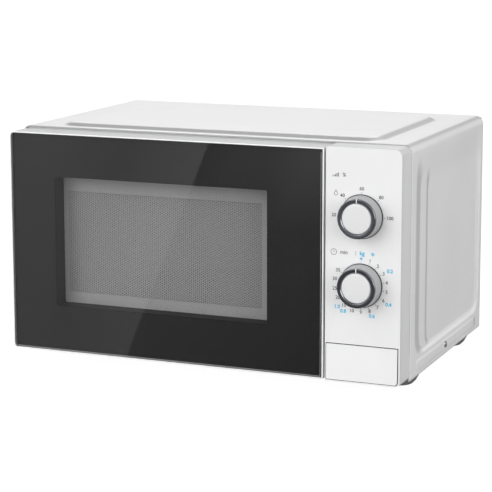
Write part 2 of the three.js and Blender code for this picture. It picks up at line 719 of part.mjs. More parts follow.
function doorFrame() {
  const { left, right, bottom, top, rear, wall, rim } = DOOR;
  const outer = roundedRect(left, right, bottom, top, [5, 0.8, 0.8, 5]);
  const seat = roundedRect(left + rim, right - rim, bottom + rim, top - rim, [3.8, 0.6, 0.6, 3.8]);
  const inside = roundedRect(left + wall, right - wall, bottom + wall, top - wall, [4, 0.6, 0.6, 4]);
  const ledge = roundedRect(-206, 124, 30, 239, 4);
  return cut(
    prism('y', outer, 0, rear),
    prism('y', seat, -5, GLASS.rear + GAP),
    prism('y', inside, 6.1, rear + 5),
    prism('y', ledge, 0, rear),
    ...doorNotches(),
  );
}

function doorGlass() {
  const { left, right, bottom, top, front, rear } = GLASS;
  return prism('y', roundedRect(left, right, bottom, top, [3.5, 0.5, 0.5, 3.5]), front, rear);
}

function windowShroud() {
  const front = 6.4;
  const plate = roundedRect(-212, 131, 24, 245, 2);
  const hole = roundedRect(WINDOW.left, WINDOW.right, WINDOW.bottom, WINDOW.top, 2);
  const wall = 1.6;
  const tube = roundedRect(
    WINDOW.left - wall,
    WINDOW.right + wall,
    WINDOW.bottom - wall,
    WINDOW.top + wall,
    3,
  );
  const solid = join(prism('y', plate, front, front + wall), prism('y', tube, front, SCREEN_FRONT - GAP));
  return cut(solid, prism('y', hole, 0, 60));
}

function doorScreen() {
  const low = 20.4;
  const high = 249.2;
  const outline = roundedRect(-217, 134.5, low, high, 1);
  const inside = roundedRect(-216.2, 133.7, low + SHEET, high - SHEET, 1);
  const pan = cut(prism('y', outline, 8.4, SCREEN_FRONT + SHEET), prism('y', inside, 0, SCREEN_FRONT));
  const pivots = rod('z', HINGE.x, HINGE.y, 0, 300, HINGE.pin + 0.06, { sides: 16 });
  const ears = [low, high - 4].map((z) => box(-216.9, -207, 9, SCREEN_FRONT + 0.4, z, z + 4));
  const springTab = box(HOOK.x - 5, HOOK.x + 5, 12, 13, 240, high - 0.3);
  const solid = join(pan, ...ears, springTab);
  return cut(solid, pivots, ...latchSlots(SCREEN_FRONT - 5, SCREEN_FRONT + 5, 1));
}

function chokeCover() {
  const { left, right, bottom, top, wall, rear } = DOOR;
  const front = SCREEN_FRONT + SHEET + GAP;
  const edge = wall + GAP;
  const outline = roundedRect(left + edge, right - edge, bottom + edge, top - edge, [4, 0.5, 0.5, 4]);
  outline.holes.push(roundedRect(-190, 97, 48, 224, 6));
  return cut(prism('y', outline, front, rear), ...doorNotches(), ...latchSlots(front - 5, rear + 5, 1));
}

function doorFilm() {
  const front = SCREEN_FRONT + SHEET + GAP;
  return prism('y', roundedRect(-189.6, 96.6, 48.4, 223.6, 5.6), front, front + 0.6);
}

function latchHooks() {
  const { x, upper, lower, height } = HOOK;
  const bar = box(x - 4, x + 4, 11, 16, lower - 6, upper + 18);
  const hooks = [upper, lower].map((z) => {
    const outline = polygon([
      [15, z], [44, z], [44, z - 3], [46, z - 3], [52, z + 1], [52, z + height - 3],
      [48, z + height], [15, z + height],
    ]);
    return prism('x', outline, x - 3.5, x + 3.5);
  });
  return join(bar, ...hooks);
}

function hookSpring() {
  return coilSpring([HOOK.x, 12.6 + 4.6, HOOK.upper + 19.2], 'z', 3, 19, 6, 0.5);
}

// ---------------------------------------------------------------- turntable

function turntableMotor() {
  const { x, y } = TRAY;
  const top = CAVITY.bottom - SHEET - GAP;
  const can = rod('z', x, y, BASE.top + GAP, top, 24.5, { sides: 28 });
  const ears = box(x - 33, x + 33, y - 5, y + 5, top - 1.5, top);
  const bore = rod('z', x, y, BASE.top + 3, top + 5, 3.6, { sides: 16 });
  return cut(join(can, ears), bore);
}

function driveCoupler() {
  const { x, y, underside } = TRAY;
  const shaft = rod('z', x, y, 20, 36, 3.2, { sides: 16 });
  const hub = rod('z', x, y, 34.5, underside - GAP, 9, { sides: 24 });
  const lugs = circleOf(3, (turn) => {
    const geometry = new THREE.BoxGeometry(19, 7, 6);
    geometry.translate(12.5, 0, underside - GAP - 3);
    geometry.rotateZ(turn);
    geometry.translate(x, y, 0);
    return solidOf(geometry);
  });
  return join(shaft, hub, ...lugs);
}

function glassTurntable() {
  const { x, y, radius, underside } = TRAY;
  const thick = 4.6;
  const profile = [
    [0, underside], [103, underside], [109, underside + 1.6], [118, underside + 9],
    [radius, underside + 12], [radius, underside + 13.6], [radius - 2, underside + 14],
    [radius - 7, underside + 12.2],
    [107, underside + 6.4], [102, underside + thick], [0, underside + thick],
  ];
  const dish = turned('z', x, y, profile, 36);
  const dogs = circleOf(3, (turn) => {
    const geometry = new THREE.BoxGeometry(8, 6, 4.5);
    geometry.translate(18, 0, underside - 1.75);
    geometry.rotateZ(turn + Math.PI / 3);
    geometry.translate(x, y, 0);
    return solidOf(geometry);
  });
  return join(dish, ...dogs);
}

const ROLLER_Z = CAVITY.bottom + GAP + ROLLER.radius;

function rollerRing() {
  const { x, y } = TRAY;
  const inner = ROLLER.ring - 13;
  const outer = ROLLER.ring - ROLLER.width / 2 - 0.6;
  const [low, high] = [ROLLER_Z - 3, ROLLER_Z + 3];
  const section = [[inner, low], [outer, low], [outer, high], [inner, high], [inner, low]];
  const ring = turned('z', x, y, section, 24);
  const axles = circleOf(ROLLER.count, (turn) => {
    const geometry = new THREE.CylinderGeometry(1.9, 1.9, 15, 12);
    geometry.rotateZ(Math.PI / 2);
    geometry.translate(ROLLER.ring - 1.5, 0, ROLLER_Z);
    geometry.rotateZ(turn);
    geometry.translate(x, y, 0);
    return solidOf(geometry);
  });
  return join(ring, ...axles);
}

// A wheel drawn at the origin with its axle along x.
function rollerWheel() {
  const { radius, width } = ROLLER;
  const half = width / 2;
  return turned('x', 0, 0, [
    [2.1, -half], [radius - 0.8, -half], [radius, -half + 0.8], [radius, half - 0.8], [radius - 0.8, half],
    [2.1, half], [2.1, -half],
  ], 16);
}

// ---------------------------------------------------------------- assembly

// Adds one named piece to a group. `pivot` is the point the piece turns or slides from.
function addPart(group, name, solid, material, pivot = [0, 0, 0]) {
  const [x, y, z] = pivot;
  const mesh = new THREE.Mesh(geometryOf(solid.translate([-x, -y, -z])), MATERIALS[material].clone());
  mesh.name = name;
  mesh.position.set(x, y, z);
  group.add(mesh);
  return mesh;
}

function buildCabinet() {
  const cabinet = new THREE.Group();
  addPart(cabinet, 'outer_cover', outerCover(), 'paintedSteel');
  addPart(cabinet, 'base_plate', basePlate(), 'galvanised');
  addPart(cabinet, 'rear_panel', rearPanel(), 'galvanised');
  addPart(cabinet, 'front_plate', frontPlate(), 'paintedSteel');
  addPart(cabinet, 'oven_cavity', ovenCavity(), 'cavityEnamel');
  addPart(cabinet, 'cord_gland', cordGland(), 'blackPlastic');
  addPart(cabinet, 'upper_hinge', hinge(UPPER_ARM, false), 'zincSteel');
  addPart(cabinet, 'lower_hinge', hinge(LOWER_ARM, true), 'zincSteel');
  addPart(cabinet, 'cover_screw_left', coverScrew(-1), 'zincSteel');
  addPart(cabinet, 'cover_screw_right', coverScrew(1), 'zincSteel');
  const names = ['front_left_foot', 'rear_left_foot', 'front_right_foot', 'rear_right_foot'];
  footPlaces().forEach(([x, y], i) => addPart(cabinet, names[i], foot(x, y), 'rubber', [x, y, 0]));
  return cabinet;
}

function buildElectrics() {
  const electrics = new THREE.Group();
  addPart(electrics, 'waveguide', waveguide(), 'galvanised');
  addPart(electrics, 'waveguide_cover', waveguideCover(), 'mica');
  addPart(electrics, 'magnetron_yoke', magnetronYoke(), 'galvanised');
  addPart(electrics, 'magnetron_anode', magnetronAnode(), 'aluminium');
  addPart(electrics, 'transformer_core', transformerCore(), 'laminations');
  const reach = TRANSFORMER.window - GAP;
  addPart(electrics, 'transformer_primary', transformerWinding(-reach, -1, 12), 'copper');
  addPart(electrics, 'transformer_secondary', transformerWinding(1, reach, 15), 'copper');
  addPart(electrics, 'hv_capacitor', capacitor(), 'aluminium');
  addPart(electrics, 'fan_shroud', fanShroud(), 'naturalPlastic');
  addPart(electrics, 'fan_motor', fanMotor(), 'laminations');
  addPart(electrics, 'fan_blade', fanBlade(), 'naturalPlastic', [FAN.x, FAN.y, FAN.z]);
  addPart(electrics, 'cavity_lamp', cavityLamp(), 'clearGlass');
  addPart(electrics, 'thermal_cutout', thermalCutout(), 'blackPlastic');
  addPart(electrics, 'fuse_board', fuseBoard(), 'board');
  addPart(electrics, 'turntable_motor', turntableMotor(), 'zincSteel');
  return electrics;
}

function buildLatch() {
  const latch = new THREE.Group();
  addPart(latch, 'interlock_bracket', interlockBracket(), 'naturalPlastic');
  addPart(latch, 'primary_microswitch', microswitch(HOOK.upper - 40), 'blackPlastic');
  addPart(latch, 'monitor_microswitch', microswitch(120), 'blackPlastic');
  addPart(latch, 'secondary_microswitch', microswitch(HOOK.lower + 12 + 2.5), 'blackPlastic');
  addPart(latch, 'latch_lever', latchLever(), 'naturalPlastic', [LEVER.x, LEVER.y, LEVER.z]);
  return latch;
}

function buildKnob(name, z) {
  const knob = new THREE.Group();
  const pivot = [KNOB_X, 0, z];
  addPart(knob, `${name}_shaft`, controlShaft(z), 'naturalPlastic', pivot);
  addPart(knob, `${name}_knob_body`, knobBody(z), 'greyPlastic', pivot);
  addPart(knob, `${name}_knob_ring`, knobRing(z), 'darkChrome', pivot);
  addPart(knob, `${name}_knob_cap`, knobCap(z), 'whitePlastic', pivot);
  return knob;
}

function buildPanel() {
  const panel = new THREE.Group();
  addPart(panel, 'control_panel', controlPanel(), 'whitePlastic');
  addPart(panel, 'release_button', releaseButton(), 'whitePlastic');
  addPart(panel, 'button_spring', buttonSpring(), 'zincSteel');
  addPart(panel, 'timer_unit', timerUnit(), 'naturalPlastic');
  panel.add(buildKnob('power', POWER_Z), buildKnob('timer', TIMER_Z));
  return panel;
}

function buildDoor() {
  const door = new THREE.Group();
  const pivot = [HINGE.x, HINGE.y, 0];
  addPart(door, 'door_frame', doorFrame(), 'whitePlastic', pivot);
  addPart(door, 'door_glass', doorGlass(), 'doorGlass', pivot);
  addPart(door, 'window_shroud', windowShroud(), 'blackPlastic', pivot);
  addPart(door, 'door_screen', doorScreen(), 'screenSteel', pivot);
  addPart(door, 'door_film', doorFilm(), 'clearGlass', pivot);
  addPart(door, 'choke_cover', chokeCover(), 'blackPlastic', pivot);
  addPart(door, 'latch_hooks', latchHooks(), 'naturalPlastic', pivot);
  addPart(door, 'hook_spring', hookSpring(), 'zincSteel', pivot);
  return door;
}

function buildTurntable() {
  const turntable = new THREE.Group();
  const pivot = [TRAY.x, TRAY.y, 0];
  addPart(turntable, 'drive_coupler', driveCoupler(), 'naturalPlastic', pivot);
  addPart(turntable, 'glass_turntable', glassTurntable(), 'clearGlass', pivot);
  addPart(turntable, 'roller_ring', rollerRing(), 'naturalPlastic', pivot);
  circleOf(ROLLER.count, (turn) => turn).forEach((turn, i) => {
    const wheel = addPart(turntable, `roller_wheel_${i + 1}`, rollerWheel(), 'blackPlastic');
    const x = TRAY.x + ROLLER.ring * Math.cos(turn);
    const y = TRAY.y + ROLLER.ring * Math.sin(turn);
    wheel.position.set(x, y, ROLLER_Z);
    wheel.rotation.z = turn;
  });
  return turntable;
}

const oven = new THREE.Group();
oven.name = 'microwave_oven';
oven.position.y = -(KNOB_FRONT + REAR_FACE) / 2;
oven.add(buildCabinet(), buildElectrics(), buildLatch(), buildPanel(), buildDoor(), buildTurntable());

export default oven;
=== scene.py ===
import math

import bmesh
import bpy
import numpy as np
from mathutils import Matrix, Vector
from mathutils.geometry import tessellate_polygon


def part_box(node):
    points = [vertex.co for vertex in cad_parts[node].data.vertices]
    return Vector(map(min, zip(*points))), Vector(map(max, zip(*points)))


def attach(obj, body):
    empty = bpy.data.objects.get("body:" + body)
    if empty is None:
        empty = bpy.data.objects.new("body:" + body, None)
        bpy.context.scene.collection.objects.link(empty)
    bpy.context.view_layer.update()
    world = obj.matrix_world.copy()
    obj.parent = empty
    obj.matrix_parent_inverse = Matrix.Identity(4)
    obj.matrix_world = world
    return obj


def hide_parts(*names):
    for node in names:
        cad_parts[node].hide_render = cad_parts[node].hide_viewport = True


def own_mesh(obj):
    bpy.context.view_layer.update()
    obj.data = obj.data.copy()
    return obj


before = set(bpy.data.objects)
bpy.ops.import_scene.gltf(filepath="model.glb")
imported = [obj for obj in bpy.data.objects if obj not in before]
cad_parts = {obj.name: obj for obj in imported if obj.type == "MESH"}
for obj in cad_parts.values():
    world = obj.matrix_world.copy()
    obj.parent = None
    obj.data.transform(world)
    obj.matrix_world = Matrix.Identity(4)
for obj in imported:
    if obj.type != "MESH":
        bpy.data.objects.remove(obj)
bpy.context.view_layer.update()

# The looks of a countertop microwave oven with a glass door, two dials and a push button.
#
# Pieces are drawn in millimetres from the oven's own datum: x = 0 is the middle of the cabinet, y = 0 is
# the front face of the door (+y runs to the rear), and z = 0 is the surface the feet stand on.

MM = 0.001
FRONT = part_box("door_frame")[0].y     # where the datum's y = 0 lies in the frame
COLLECTION = bpy.context.scene.collection


def span(node):
    """Lowest and highest corner of a CAD node, in datum millimetres."""
    low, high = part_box(node)
    shift = Vector((0, FRONT, 0))
    return (low - shift) / MM, (high - shift) / MM


def middle(node):
    low, high = span(node)
    return (low + high) / 2


# ---------------------------------------------------------------- materials

def fill(node, **values):
    """Sets a node's inputs by name."""
    for key, value in values.items():
        node.inputs[key.replace("_", " ")].default_value = value
    return node


def toned(color, share, lift=0.0):
    """A lighter or darker shade of a colour."""
    return tuple(min(1, c * share + lift) for c in color)


class Look:
    """A procedural material: a Principled surface with its own node helpers."""

    def __init__(self, name, color, roughness, metallic=0.0, **sockets):
        self.material = bpy.data.materials.new(name)
        self.material.use_nodes = True
        self.tree = self.material.node_tree
        self.surface = self.tree.nodes["Principled BSDF"]
        self.color = color
        fill(self.surface, Base_Color=(*color, 1), Roughness=roughness, Metallic=metallic, **sockets)
        self.position = self.node("ShaderNodeTexCoord").outputs["Object"]

    def node(self, kind, **settings):
        made = self.tree.nodes.new(kind)
        for key, value in settings.items():
            setattr(made, key, value)
        return made

    def link(self, source, target):
        self.tree.links.new(source, target)

    def texture(self, kind, scale, **settings):
        """A texture node laid on the object's own coordinates."""
        made = fill(self.node(kind, **settings), Scale=scale)
        self.link(self.position, made.inputs["Vector"])
        return made

    def noise(self, scale, detail, stretch=None):
        made = fill(self.texture("ShaderNodeTexNoise", scale), Detail=detail, Roughness=0.55)
        if stretch:
            mapping = fill(self.node("ShaderNodeMapping"), Scale=stretch)
            self.link(self.position, mapping.inputs["Vector"])
            self.link(mapping.outputs["Vector"], made.inputs["Vector"])
        return made.outputs["Fac"]

    def ramp(self, source, low, high, start, end):
        made = fill(self.node("ShaderNodeMapRange"), From_Min=start, From_Max=end, To_Min=low, To_Max=high)
        self.link(source, made.inputs["Value"])
        return made.outputs["Result"]

    def tint(self, source, other, amount, start=0.35, end=0.65):
        """Mixes another colour into the base colour where the pattern is high."""
        mix = self.node("ShaderNodeMix", data_type="RGBA")
        base = self.surface.inputs["Base Color"]
        if base.links:
            self.link(base.links[0].from_socket, mix.inputs["A"])
        else:
            mix.inputs["A"].default_value = (*self.color, 1)
        mix.inputs["B"].default_value = (*other, 1)
        self.link(self.ramp(source, 0, amount, start, end), mix.inputs["Factor"])
        self.link(mix.outputs["Result"], base)

    def gloss(self, source, low, high):
        """Lets the roughness follow a pattern."""
        self.link(self.ramp(source, low, high, 0.3, 0.7), self.surface.inputs["Roughness"])

    def bump(self, source, depth, strength=0.5):
        """Raises the surface by `depth` metres where the pattern is high."""
        made = fill(self.node("ShaderNodeBump"), Distance=depth, Strength=strength)
        normal = self.surface.inputs["Normal"]
        if normal.links:
            self.link(normal.links[0].from_socket, made.inputs["Normal"])
        self.link(source, made.inputs["Height"])
        self.link(made.outputs["Normal"], normal)

    def along(self, axis):
        """The object's own coordinate along one axis, in metres."""
        made = self.node("ShaderNodeSeparateXYZ")
        self.link(self.position, made.inputs["Vector"])
        return made.outputs[axis]

    def facing(self, axis):
        """How far the surface faces along one axis of the object."""
        made = self.node("ShaderNodeSeparateXYZ")
        self.link(self.node("ShaderNodeTexCoord").outputs["Normal"], made.inputs["Vector"])
        return made.outputs[axis]

    def both(self, first, second):
        """The product of two patterns."""
        made = self.node("ShaderNodeMath", operation="MULTIPLY")
        self.link(first, made.inputs[0])
        self.link(second, made.inputs[1])
        return made.outputs["Value"]

    def worn(self, other, amount):
        """Rubs the outer edges towards another colour."""
        edge = self.node("ShaderNodeNewGeometry").outputs["Pointiness"]
        self.tint(edge, other, amount, 0.51, 0.56)


def painted(name, color, pressings=False):
    """Powder coat; `pressings` paints light and shade onto the cover: a painted shade on the sloped faces of
    its pressed panels and along its front hem, and a painted highlight on faces that tilt upwards below the
    fold.
    """
    look = Look(name, color, 0.38, Coat_Weight=0.12, Coat_Roughness=0.2)
    look.tint(look.noise(9, 3), toned(color, 0.93), 0.5)
    look.tint(look.noise(420, 2), toned(color, 1.05), 0.35)
    look.gloss(look.noise(25, 5), 0.33, 0.45)
    look.bump(look.noise(1500, 2), 0.00003, 0.35)
    look.worn(toned(color, 1.12), 0.35)
    if not pressings:
        return look.material
    up = look.ramp(look.facing("Z"), 0, 1, 0.6, 0.85)
    upright = look.ramp(look.facing("Z"), 1, 0, 0.5, 0.8)
    below_fold = look.ramp(look.along("Z"), 1, 0, 0.2, 0.21)
    # the darker tones of the painted shade on the cover
    dark, deep = toned(color, 0.5), toned(color, 0.38)
    # painted shade: upright faces just behind the cover's front edge are darkened, for the shade in the gap
    # beside the panel
    hem = look.ramp(look.along("Y"), 1, 0, FRONT + 0.0312, FRONT + 0.0318)
    # painted shade: slopes of the pressed side panels that face the rear are darkened
    side_slope_shade = look.ramp(look.facing("Y"), 0, 1, 0.015, 0.075)
    # painted shade: the front slope of the pressed top panel is darkened strongly
    top_front_slope_shade = look.ramp(look.facing("Y"), 0, 1, -0.1, -0.36)
    # painted highlight: faces that tilt upwards below the fold, such as the lower edges of the pressed side
    # panels, are lightened towards white
    ledge = look.ramp(look.facing("Z"), 0, 1, 0.12, 0.35)
    # painted shade: faces on the top that tilt towards +x are darkened
    top_side_slope_shade = look.ramp(look.facing("X"), 0, 1, 0.08, 0.4)
    # each row tints one masked part of the cover, with painted shade on the slopes and hem and a painted
    # highlight on the ledges
    for slope, where, shade, amount in (
            (hem, upright, dark, 0.8), (side_slope_shade, upright, dark, 0.6), (top_front_slope_shade, up, deep, 0.95),
            (ledge, below_fold, (1.0, 1.0, 1.0), 0.9), (top_side_slope_shade, up, dark, 0.6)):
        look.tint(look.both(slope, where), shade, amount, 0, 1)
    return look.material


def moulded(name, color, roughness, shift=0.965, side=None, **sockets):
    """Moulded plastic; `side` is the share of the tone that the surfaces behind the front face keep, a
    painted shade that darkens the top, sides and inside of the moulding.
    """
    look = Look(name, color, roughness, **sockets)
    look.tint(look.noise(14, 2), toned(color, shift), 0.5)
    if side:
        # painted shade: every face behind the front face, such as the door's top strip and the panel's side,
        # is darkened
        look.tint(look.along("Y"), toned(color, side), 1.0, FRONT + 0.0008, FRONT + 0.0013)
    look.tint(look.noise(900, 2), toned(color, 1.05), 0.2)
    look.gloss(look.noise(40, 2), roughness - 0.03, roughness + 0.03)
    look.bump(look.noise(2600, 2), 0.00002, 0.35)
    look.worn(toned(color, 1.2, 0.01), 0.3)
    return look.material


def rubbery(name, color):
    look = Look(name, color, 0.8)
    look.tint(look.noise(40, 5), toned(color, 1.3, 0.01), 0.5)
    look.gloss(look.noise(120, 4), 0.68, 0.9)
    look.bump(look.noise(1400, 5), 0.00008, 0.6)
    return look.material


def plated(name, color, roughness, spangle=0.0):
    look = Look(name, color, roughness, 0.92)
    if spangle:
        cells = look.texture("ShaderNodeTexVoronoi", 140)
        tone = look.node("ShaderNodeSeparateColor")
        look.link(cells.outputs["Color"], tone.inputs["Color"])
        look.tint(tone.outputs["Red"], toned(color, 0.7), spangle, 0.2, 0.8)
    look.tint(look.noise(35, 6), toned(color, 0.8), 0.4)
    look.gloss(look.noise(70, 5), roughness - 0.08, roughness + 0.12)
    look.bump(look.noise(700, 4, (1, 1, 0.08)), 0.00002, 0.4)
    return look.material


def banded(name, color, dark, pitch, axis, metallic, roughness):
    """Fine parallel bands, as in stacked laminations or a wound coil."""
    look = Look(name, color, roughness, metallic)
    bands = look.texture("ShaderNodeTexWave", 0.05 / (pitch * MM), bands_direction=axis)
    fill(bands, Distortion=0.4, Detail_Scale=2)
    look.tint(bands.outputs["Fac"], dark, 0.85, 0.15, 0.75)
    look.tint(look.noise(45, 5), toned(color, 0.6), 0.35)
    look.gloss(look.noise(80, 4), roughness - 0.08, roughness + 0.1)
    look.bump(bands.outputs["Fac"], 0.0002, 0.6)
    return look.material


GLASS_INDEX = 1.5


def glazed(name, tint, roughness=0.005):
    """Thin glass or film: what is behind shows through its tint, under a Fresnel reflection."""
    look = Look(name, tint, roughness)
    look.tree.nodes.remove(look.surface)
    clear = fill(look.node("ShaderNodeBsdfTransparent"), Color=(*tint, 1))
    shine = fill(look.node("ShaderNodeBsdfGlossy"), Color=(1, 1, 1, 1))
    smear = look.ramp(look.noise(18, 5), roughness, roughness + 0.012, 0.4, 0.75)
    look.link(smear, shine.inputs["Roughness"])
    fresnel = look.node("ShaderNodeFresnel")
    behind = look.node("ShaderNodeNewGeometry").outputs["Backfacing"]
    look.link(look.ramp(behind, GLASS_INDEX, 1 / GLASS_INDEX, 0, 1), fresnel.inputs["IOR"])
    mix = look.node("ShaderNodeMixShader")
    look.link(fresnel.outputs["Fac"], mix.inputs["Fac"])
    look.link(clear.outputs["BSDF"], mix.inputs[1])
    look.link(shine.outputs["BSDF"], mix.inputs[2])
    look.link(mix.outputs["Shader"], look.tree.nodes["Material Output"].inputs["Surface"])
    return look.material


def printed(name, color):
    look = Look(name, color, 0.55)
    look.tint(look.noise(500, 3), toned(color, 1.25, 0.002), 0.5)
    look.gloss(look.noise(200, 3), 0.5, 0.62)
    look.bump(look.noise(2500, 2), 0.00001, 0.3)
    return look.material


def circuit(name):
    look = Look(name, (0.28, 0.17, 0.06), 0.5)
    tracks = fill(look.texture("ShaderNodeTexBrick", 60), Mortar_Size=0.03)
    look.tint(tracks.outputs["Fac"], (0.07, 0.2, 0.08), 0.8, 0, 1)
    look.tint(look.noise(80, 4), (0.2, 0.11, 0.04), 0.5)
    look.gloss(look.noise(90, 4), 0.42, 0.6)
    look.bump(tracks.outputs["Fac"], 0.0001, 0.5)
    return look.material


def chrome(name, color):
    look = Look(name, color, 0.2, 1.0, Anisotropic=0.45)
    look.tint(look.noise(30, 4), toned(color, 0.75), 0.5)
    look.gloss(look.noise(150, 4), 0.16, 0.27)
    look.bump(look.noise(900, 3, (1, 0.05, 1)), 0.00001, 0.3)
    look.worn(toned(color, 1.6), 0.5)
    return look.material


def mica_sheet(name):
    look = Look(name, (0.46, 0.34, 0.2), 0.5, Coat_Weight=0.3, Coat_Roughness=0.3)
    flakes = look.texture("ShaderNodeTexVoronoi", 600)
    look.tint(flakes.outputs["Distance"], (0.75, 0.6, 0.38), 0.7, 0.1, 0.6)
    look.tint(look.noise(60, 5), (0.28, 0.19, 0.1), 0.4)
    look.gloss(look.noise(240, 4), 0.35, 0.6)
    look.bump(flakes.outputs["Distance"], 0.00006, 0.5)
    return look.material


# PAINT carries the painted shade and the painted highlight of the cover's pressed panels
PAINT = painted("paint_light_grey", (0.88, 0.88, 0.882), pressings=True)
PAINT_FRONT = painted("paint_front_plate", (0.62, 0.625, 0.63))
ENAMEL = painted("cavity_enamel_grey", (0.5, 0.51, 0.52))
# WHITE and DOOR_WHITE carry a painted shade on the faces behind their front faces
WHITE = moulded("white_plastic_satin", (0.82, 0.82, 0.825), 0.32, side=0.84, Specular_IOR_Level=0.15)
DOOR_WHITE = moulded("white_plastic_door", (0.93, 0.93, 0.93), 0.32, side=0.62, Specular_IOR_Level=0.15)
CAP_WHITE = moulded("white_plastic_cap", (0.76, 0.76, 0.765), 0.3)
GREY = moulded("grey_plastic_collar", (0.46, 0.465, 0.47), 0.34)
BLACK = moulded("black_plastic_matt", (0.012, 0.0125, 0.014), 0.5, shift=0.6)
SHROUD = moulded("black_plastic_recess", (0.007, 0.007, 0.0072), 0.55, shift=0.6)
NATURAL = moulded("natural_nylon", (0.72, 0.68, 0.58), 0.45)
RUBBER = rubbery("grey_rubber", (0.17, 0.17, 0.172))
GALVANISED = plated("galvanised_sheet", (0.52, 0.54, 0.56), 0.38, 0.5)
ZINC = plated("zinc_plated_steel", (0.62, 0.64, 0.67), 0.26)
SCREEN = moulded("screen_paint_grey", (0.775, 0.775, 0.775), 0.5)
ALUMINIUM = plated("aluminium_raw", (0.68, 0.69, 0.7), 0.3)
COPPER = banded("enamelled_copper", (0.42, 0.15, 0.05), (0.16, 0.05, 0.015), 1.4, "Z", 0.85, 0.35)
STACK = banded("steel_laminations", (0.12, 0.125, 0.13), (0.03, 0.03, 0.032), 0.7, "X", 0.7, 0.5)
SCREW_STEEL = plated("screw_steel", (0.45, 0.455, 0.46), 0.25)
DARK_CHROME = chrome("dark_chrome_ring", (0.27, 0.275, 0.3))
TINTED = glazed("tinted_door_glass", (0.79, 0.79, 0.79))
CLEAR = glazed("clear_tempered_glass", (0.9, 0.94, 0.93))
FILM = glazed("clear_film", (0.9, 0.9, 0.9), 0.06)
PRINT_BLACK = printed("glass_print_black", (0.032, 0.032, 0.0322))
GLASS_EDGE_LINE = printed("glass_edge_line", (0.35, 0.36, 0.37))
PRINT_GREY = printed("dial_print_grey", (0.1, 0.1, 0.105))
PRINT_BLUE = printed("dial_print_blue", (0.0, 0.45, 0.72))
PRINT_MARK = printed("marker_white", (0.8, 0.82, 0.84))
MICA = mica_sheet("mica_cover")
BOARD = circuit("circuit_board")


# ---------------------------------------------------------------- mesh helpers

def rounded(u0, u1, v0, v1, radii, steps=6):
    """A rounded rectangle. The radii are in the order left-bottom, right-bottom, right-top, left-top."""
    a, b, c, d = radii if isinstance(radii, (list, tuple)) else (radii,) * 4
    corners = ((u0, v0, 1, 1, a), (u1, v0, -1, 1, b), (u1, v1, -1, -1, c), (u0, v1, 1, -1, d))
    points = []
    for corner, (u, v, du, dv, radius) in enumerate(corners):
        for k in range(steps + 1):
            turn = math.radians(180 + 90 * corner + 90 * k / steps)
            points.append((u + radius * (du + math.cos(turn)), v + radius * (dv + math.sin(turn))))
    return points


def turns_of(count):
    """The angles of `count` equal steps round a circle."""
    return [2 * math.pi * k / count for k in range(count)]


def at_y(loop, y):
    return [(u, y, v) for u, v in loop]


class Shape:
    """Points and faces of one mesh, in datum millimetres."""

    def __init__(self):
        self.points = []
        self.faces = []

    def add(self, points, faces):
        first = len(self.points)
        self.points += [tuple(p) for p in points]
        self.faces += [tuple(first + i for i in face) for face in faces]
        return self

    def loft(self, loops, closed=False, start_cap=False, end_cap=False):
        """Joins loops of equal length with quads."""
        count, rows = len(loops[0]), len(loops)
        faces = []
        for row in range(rows if closed else rows - 1):
            a, b = row * count, (row + 1) % rows * count
            for k in range(count):
                m = (k + 1) % count
                faces.append((a + k, a + m, b + m, b + k))
        if start_cap:
            faces.append(tuple(range(count))[::-1])
        if end_cap:
            faces.append(tuple((rows - 1) * count + k for k in range(count)))
        return self.add([p for loop in loops for p in loop], faces)

    def cap(self, loops, y):
        """A flat face in the x-z plane between an outer loop and its holes."""
        flat = [p for loop in loops for p in loop]
        triangles = tessellate_polygon([[Vector((u, v, 0)) for u, v in loop] for loop in loops])
        return self.add(at_y(flat, y), triangles)

    def slab(self, outer, holes, y0, y1):
        loops = [outer, *holes]
        self.cap(loops, y0).cap(loops, y1)
        for loop in loops:
            self.loft([at_y(loop, y0), at_y(loop, y1)])
        return self

    def box(self, x0, x1, y0, y1, z0, z1):
        corners = [(x0, z0), (x1, z0), (x1, z1), (x0, z1)]
        return self.loft([at_y(corners, y0), at_y(corners, y1)], False, True, True)

    def lathe(self, axis, centre, profile, segments=96):
        """Turns a profile of (radius, station) about an axis through the centre."""
        loops = []
        for radius, station in profile:
            loop = []
            for turn in turns_of(segments):
                a, b = radius * math.cos(turn), radius * math.sin(turn)
                x, y, z = centre
                loop.append({"x": (x + station, y + a, z + b), "y": (x + a, y + station, z + b),
                             "z": (x + a, y + b, z + station)}[axis])
            loops.append(loop)
        capped = profile[0] != profile[-1]
        return self.loft(loops, start_cap=capped and profile[0][0] > 0, end_cap=capped and profile[-1][0] > 0)


def rounded_profile(profile, radius):
    """Softens the inner corners of a (radius, station) profile with small arcs."""
    steps = 4
    points = [Vector(p) for p in profile]
    result = [tuple(points[0])]
    for before, here, after in zip(points, points[1:], points[2:]):
        into, out = (before - here), (after - here)
        reach = min(radius, into.length * 0.45, out.length * 0.45)
        start, end = here + into.normalized() * reach, here + out.normalized() * reach
        for k in range(steps + 1):
            t = k / steps
            result.append(tuple((1 - t) ** 2 * start + 2 * t * (1 - t) * here + t ** 2 * end))
    result.append(tuple(points[-1]))
    return result


def placed(name, data):
    obj = bpy.data.objects.new(name, data)
    COLLECTION.objects.link(obj)
    return obj


def raw_mesh(name, shape):
    mesh = bpy.data.meshes.new(name)
    places = np.asarray(shape.points, float) * MM + np.array((0, FRONT, 0))
    mesh.from_pydata(places.tolist(), [], shape.faces)
    return mesh


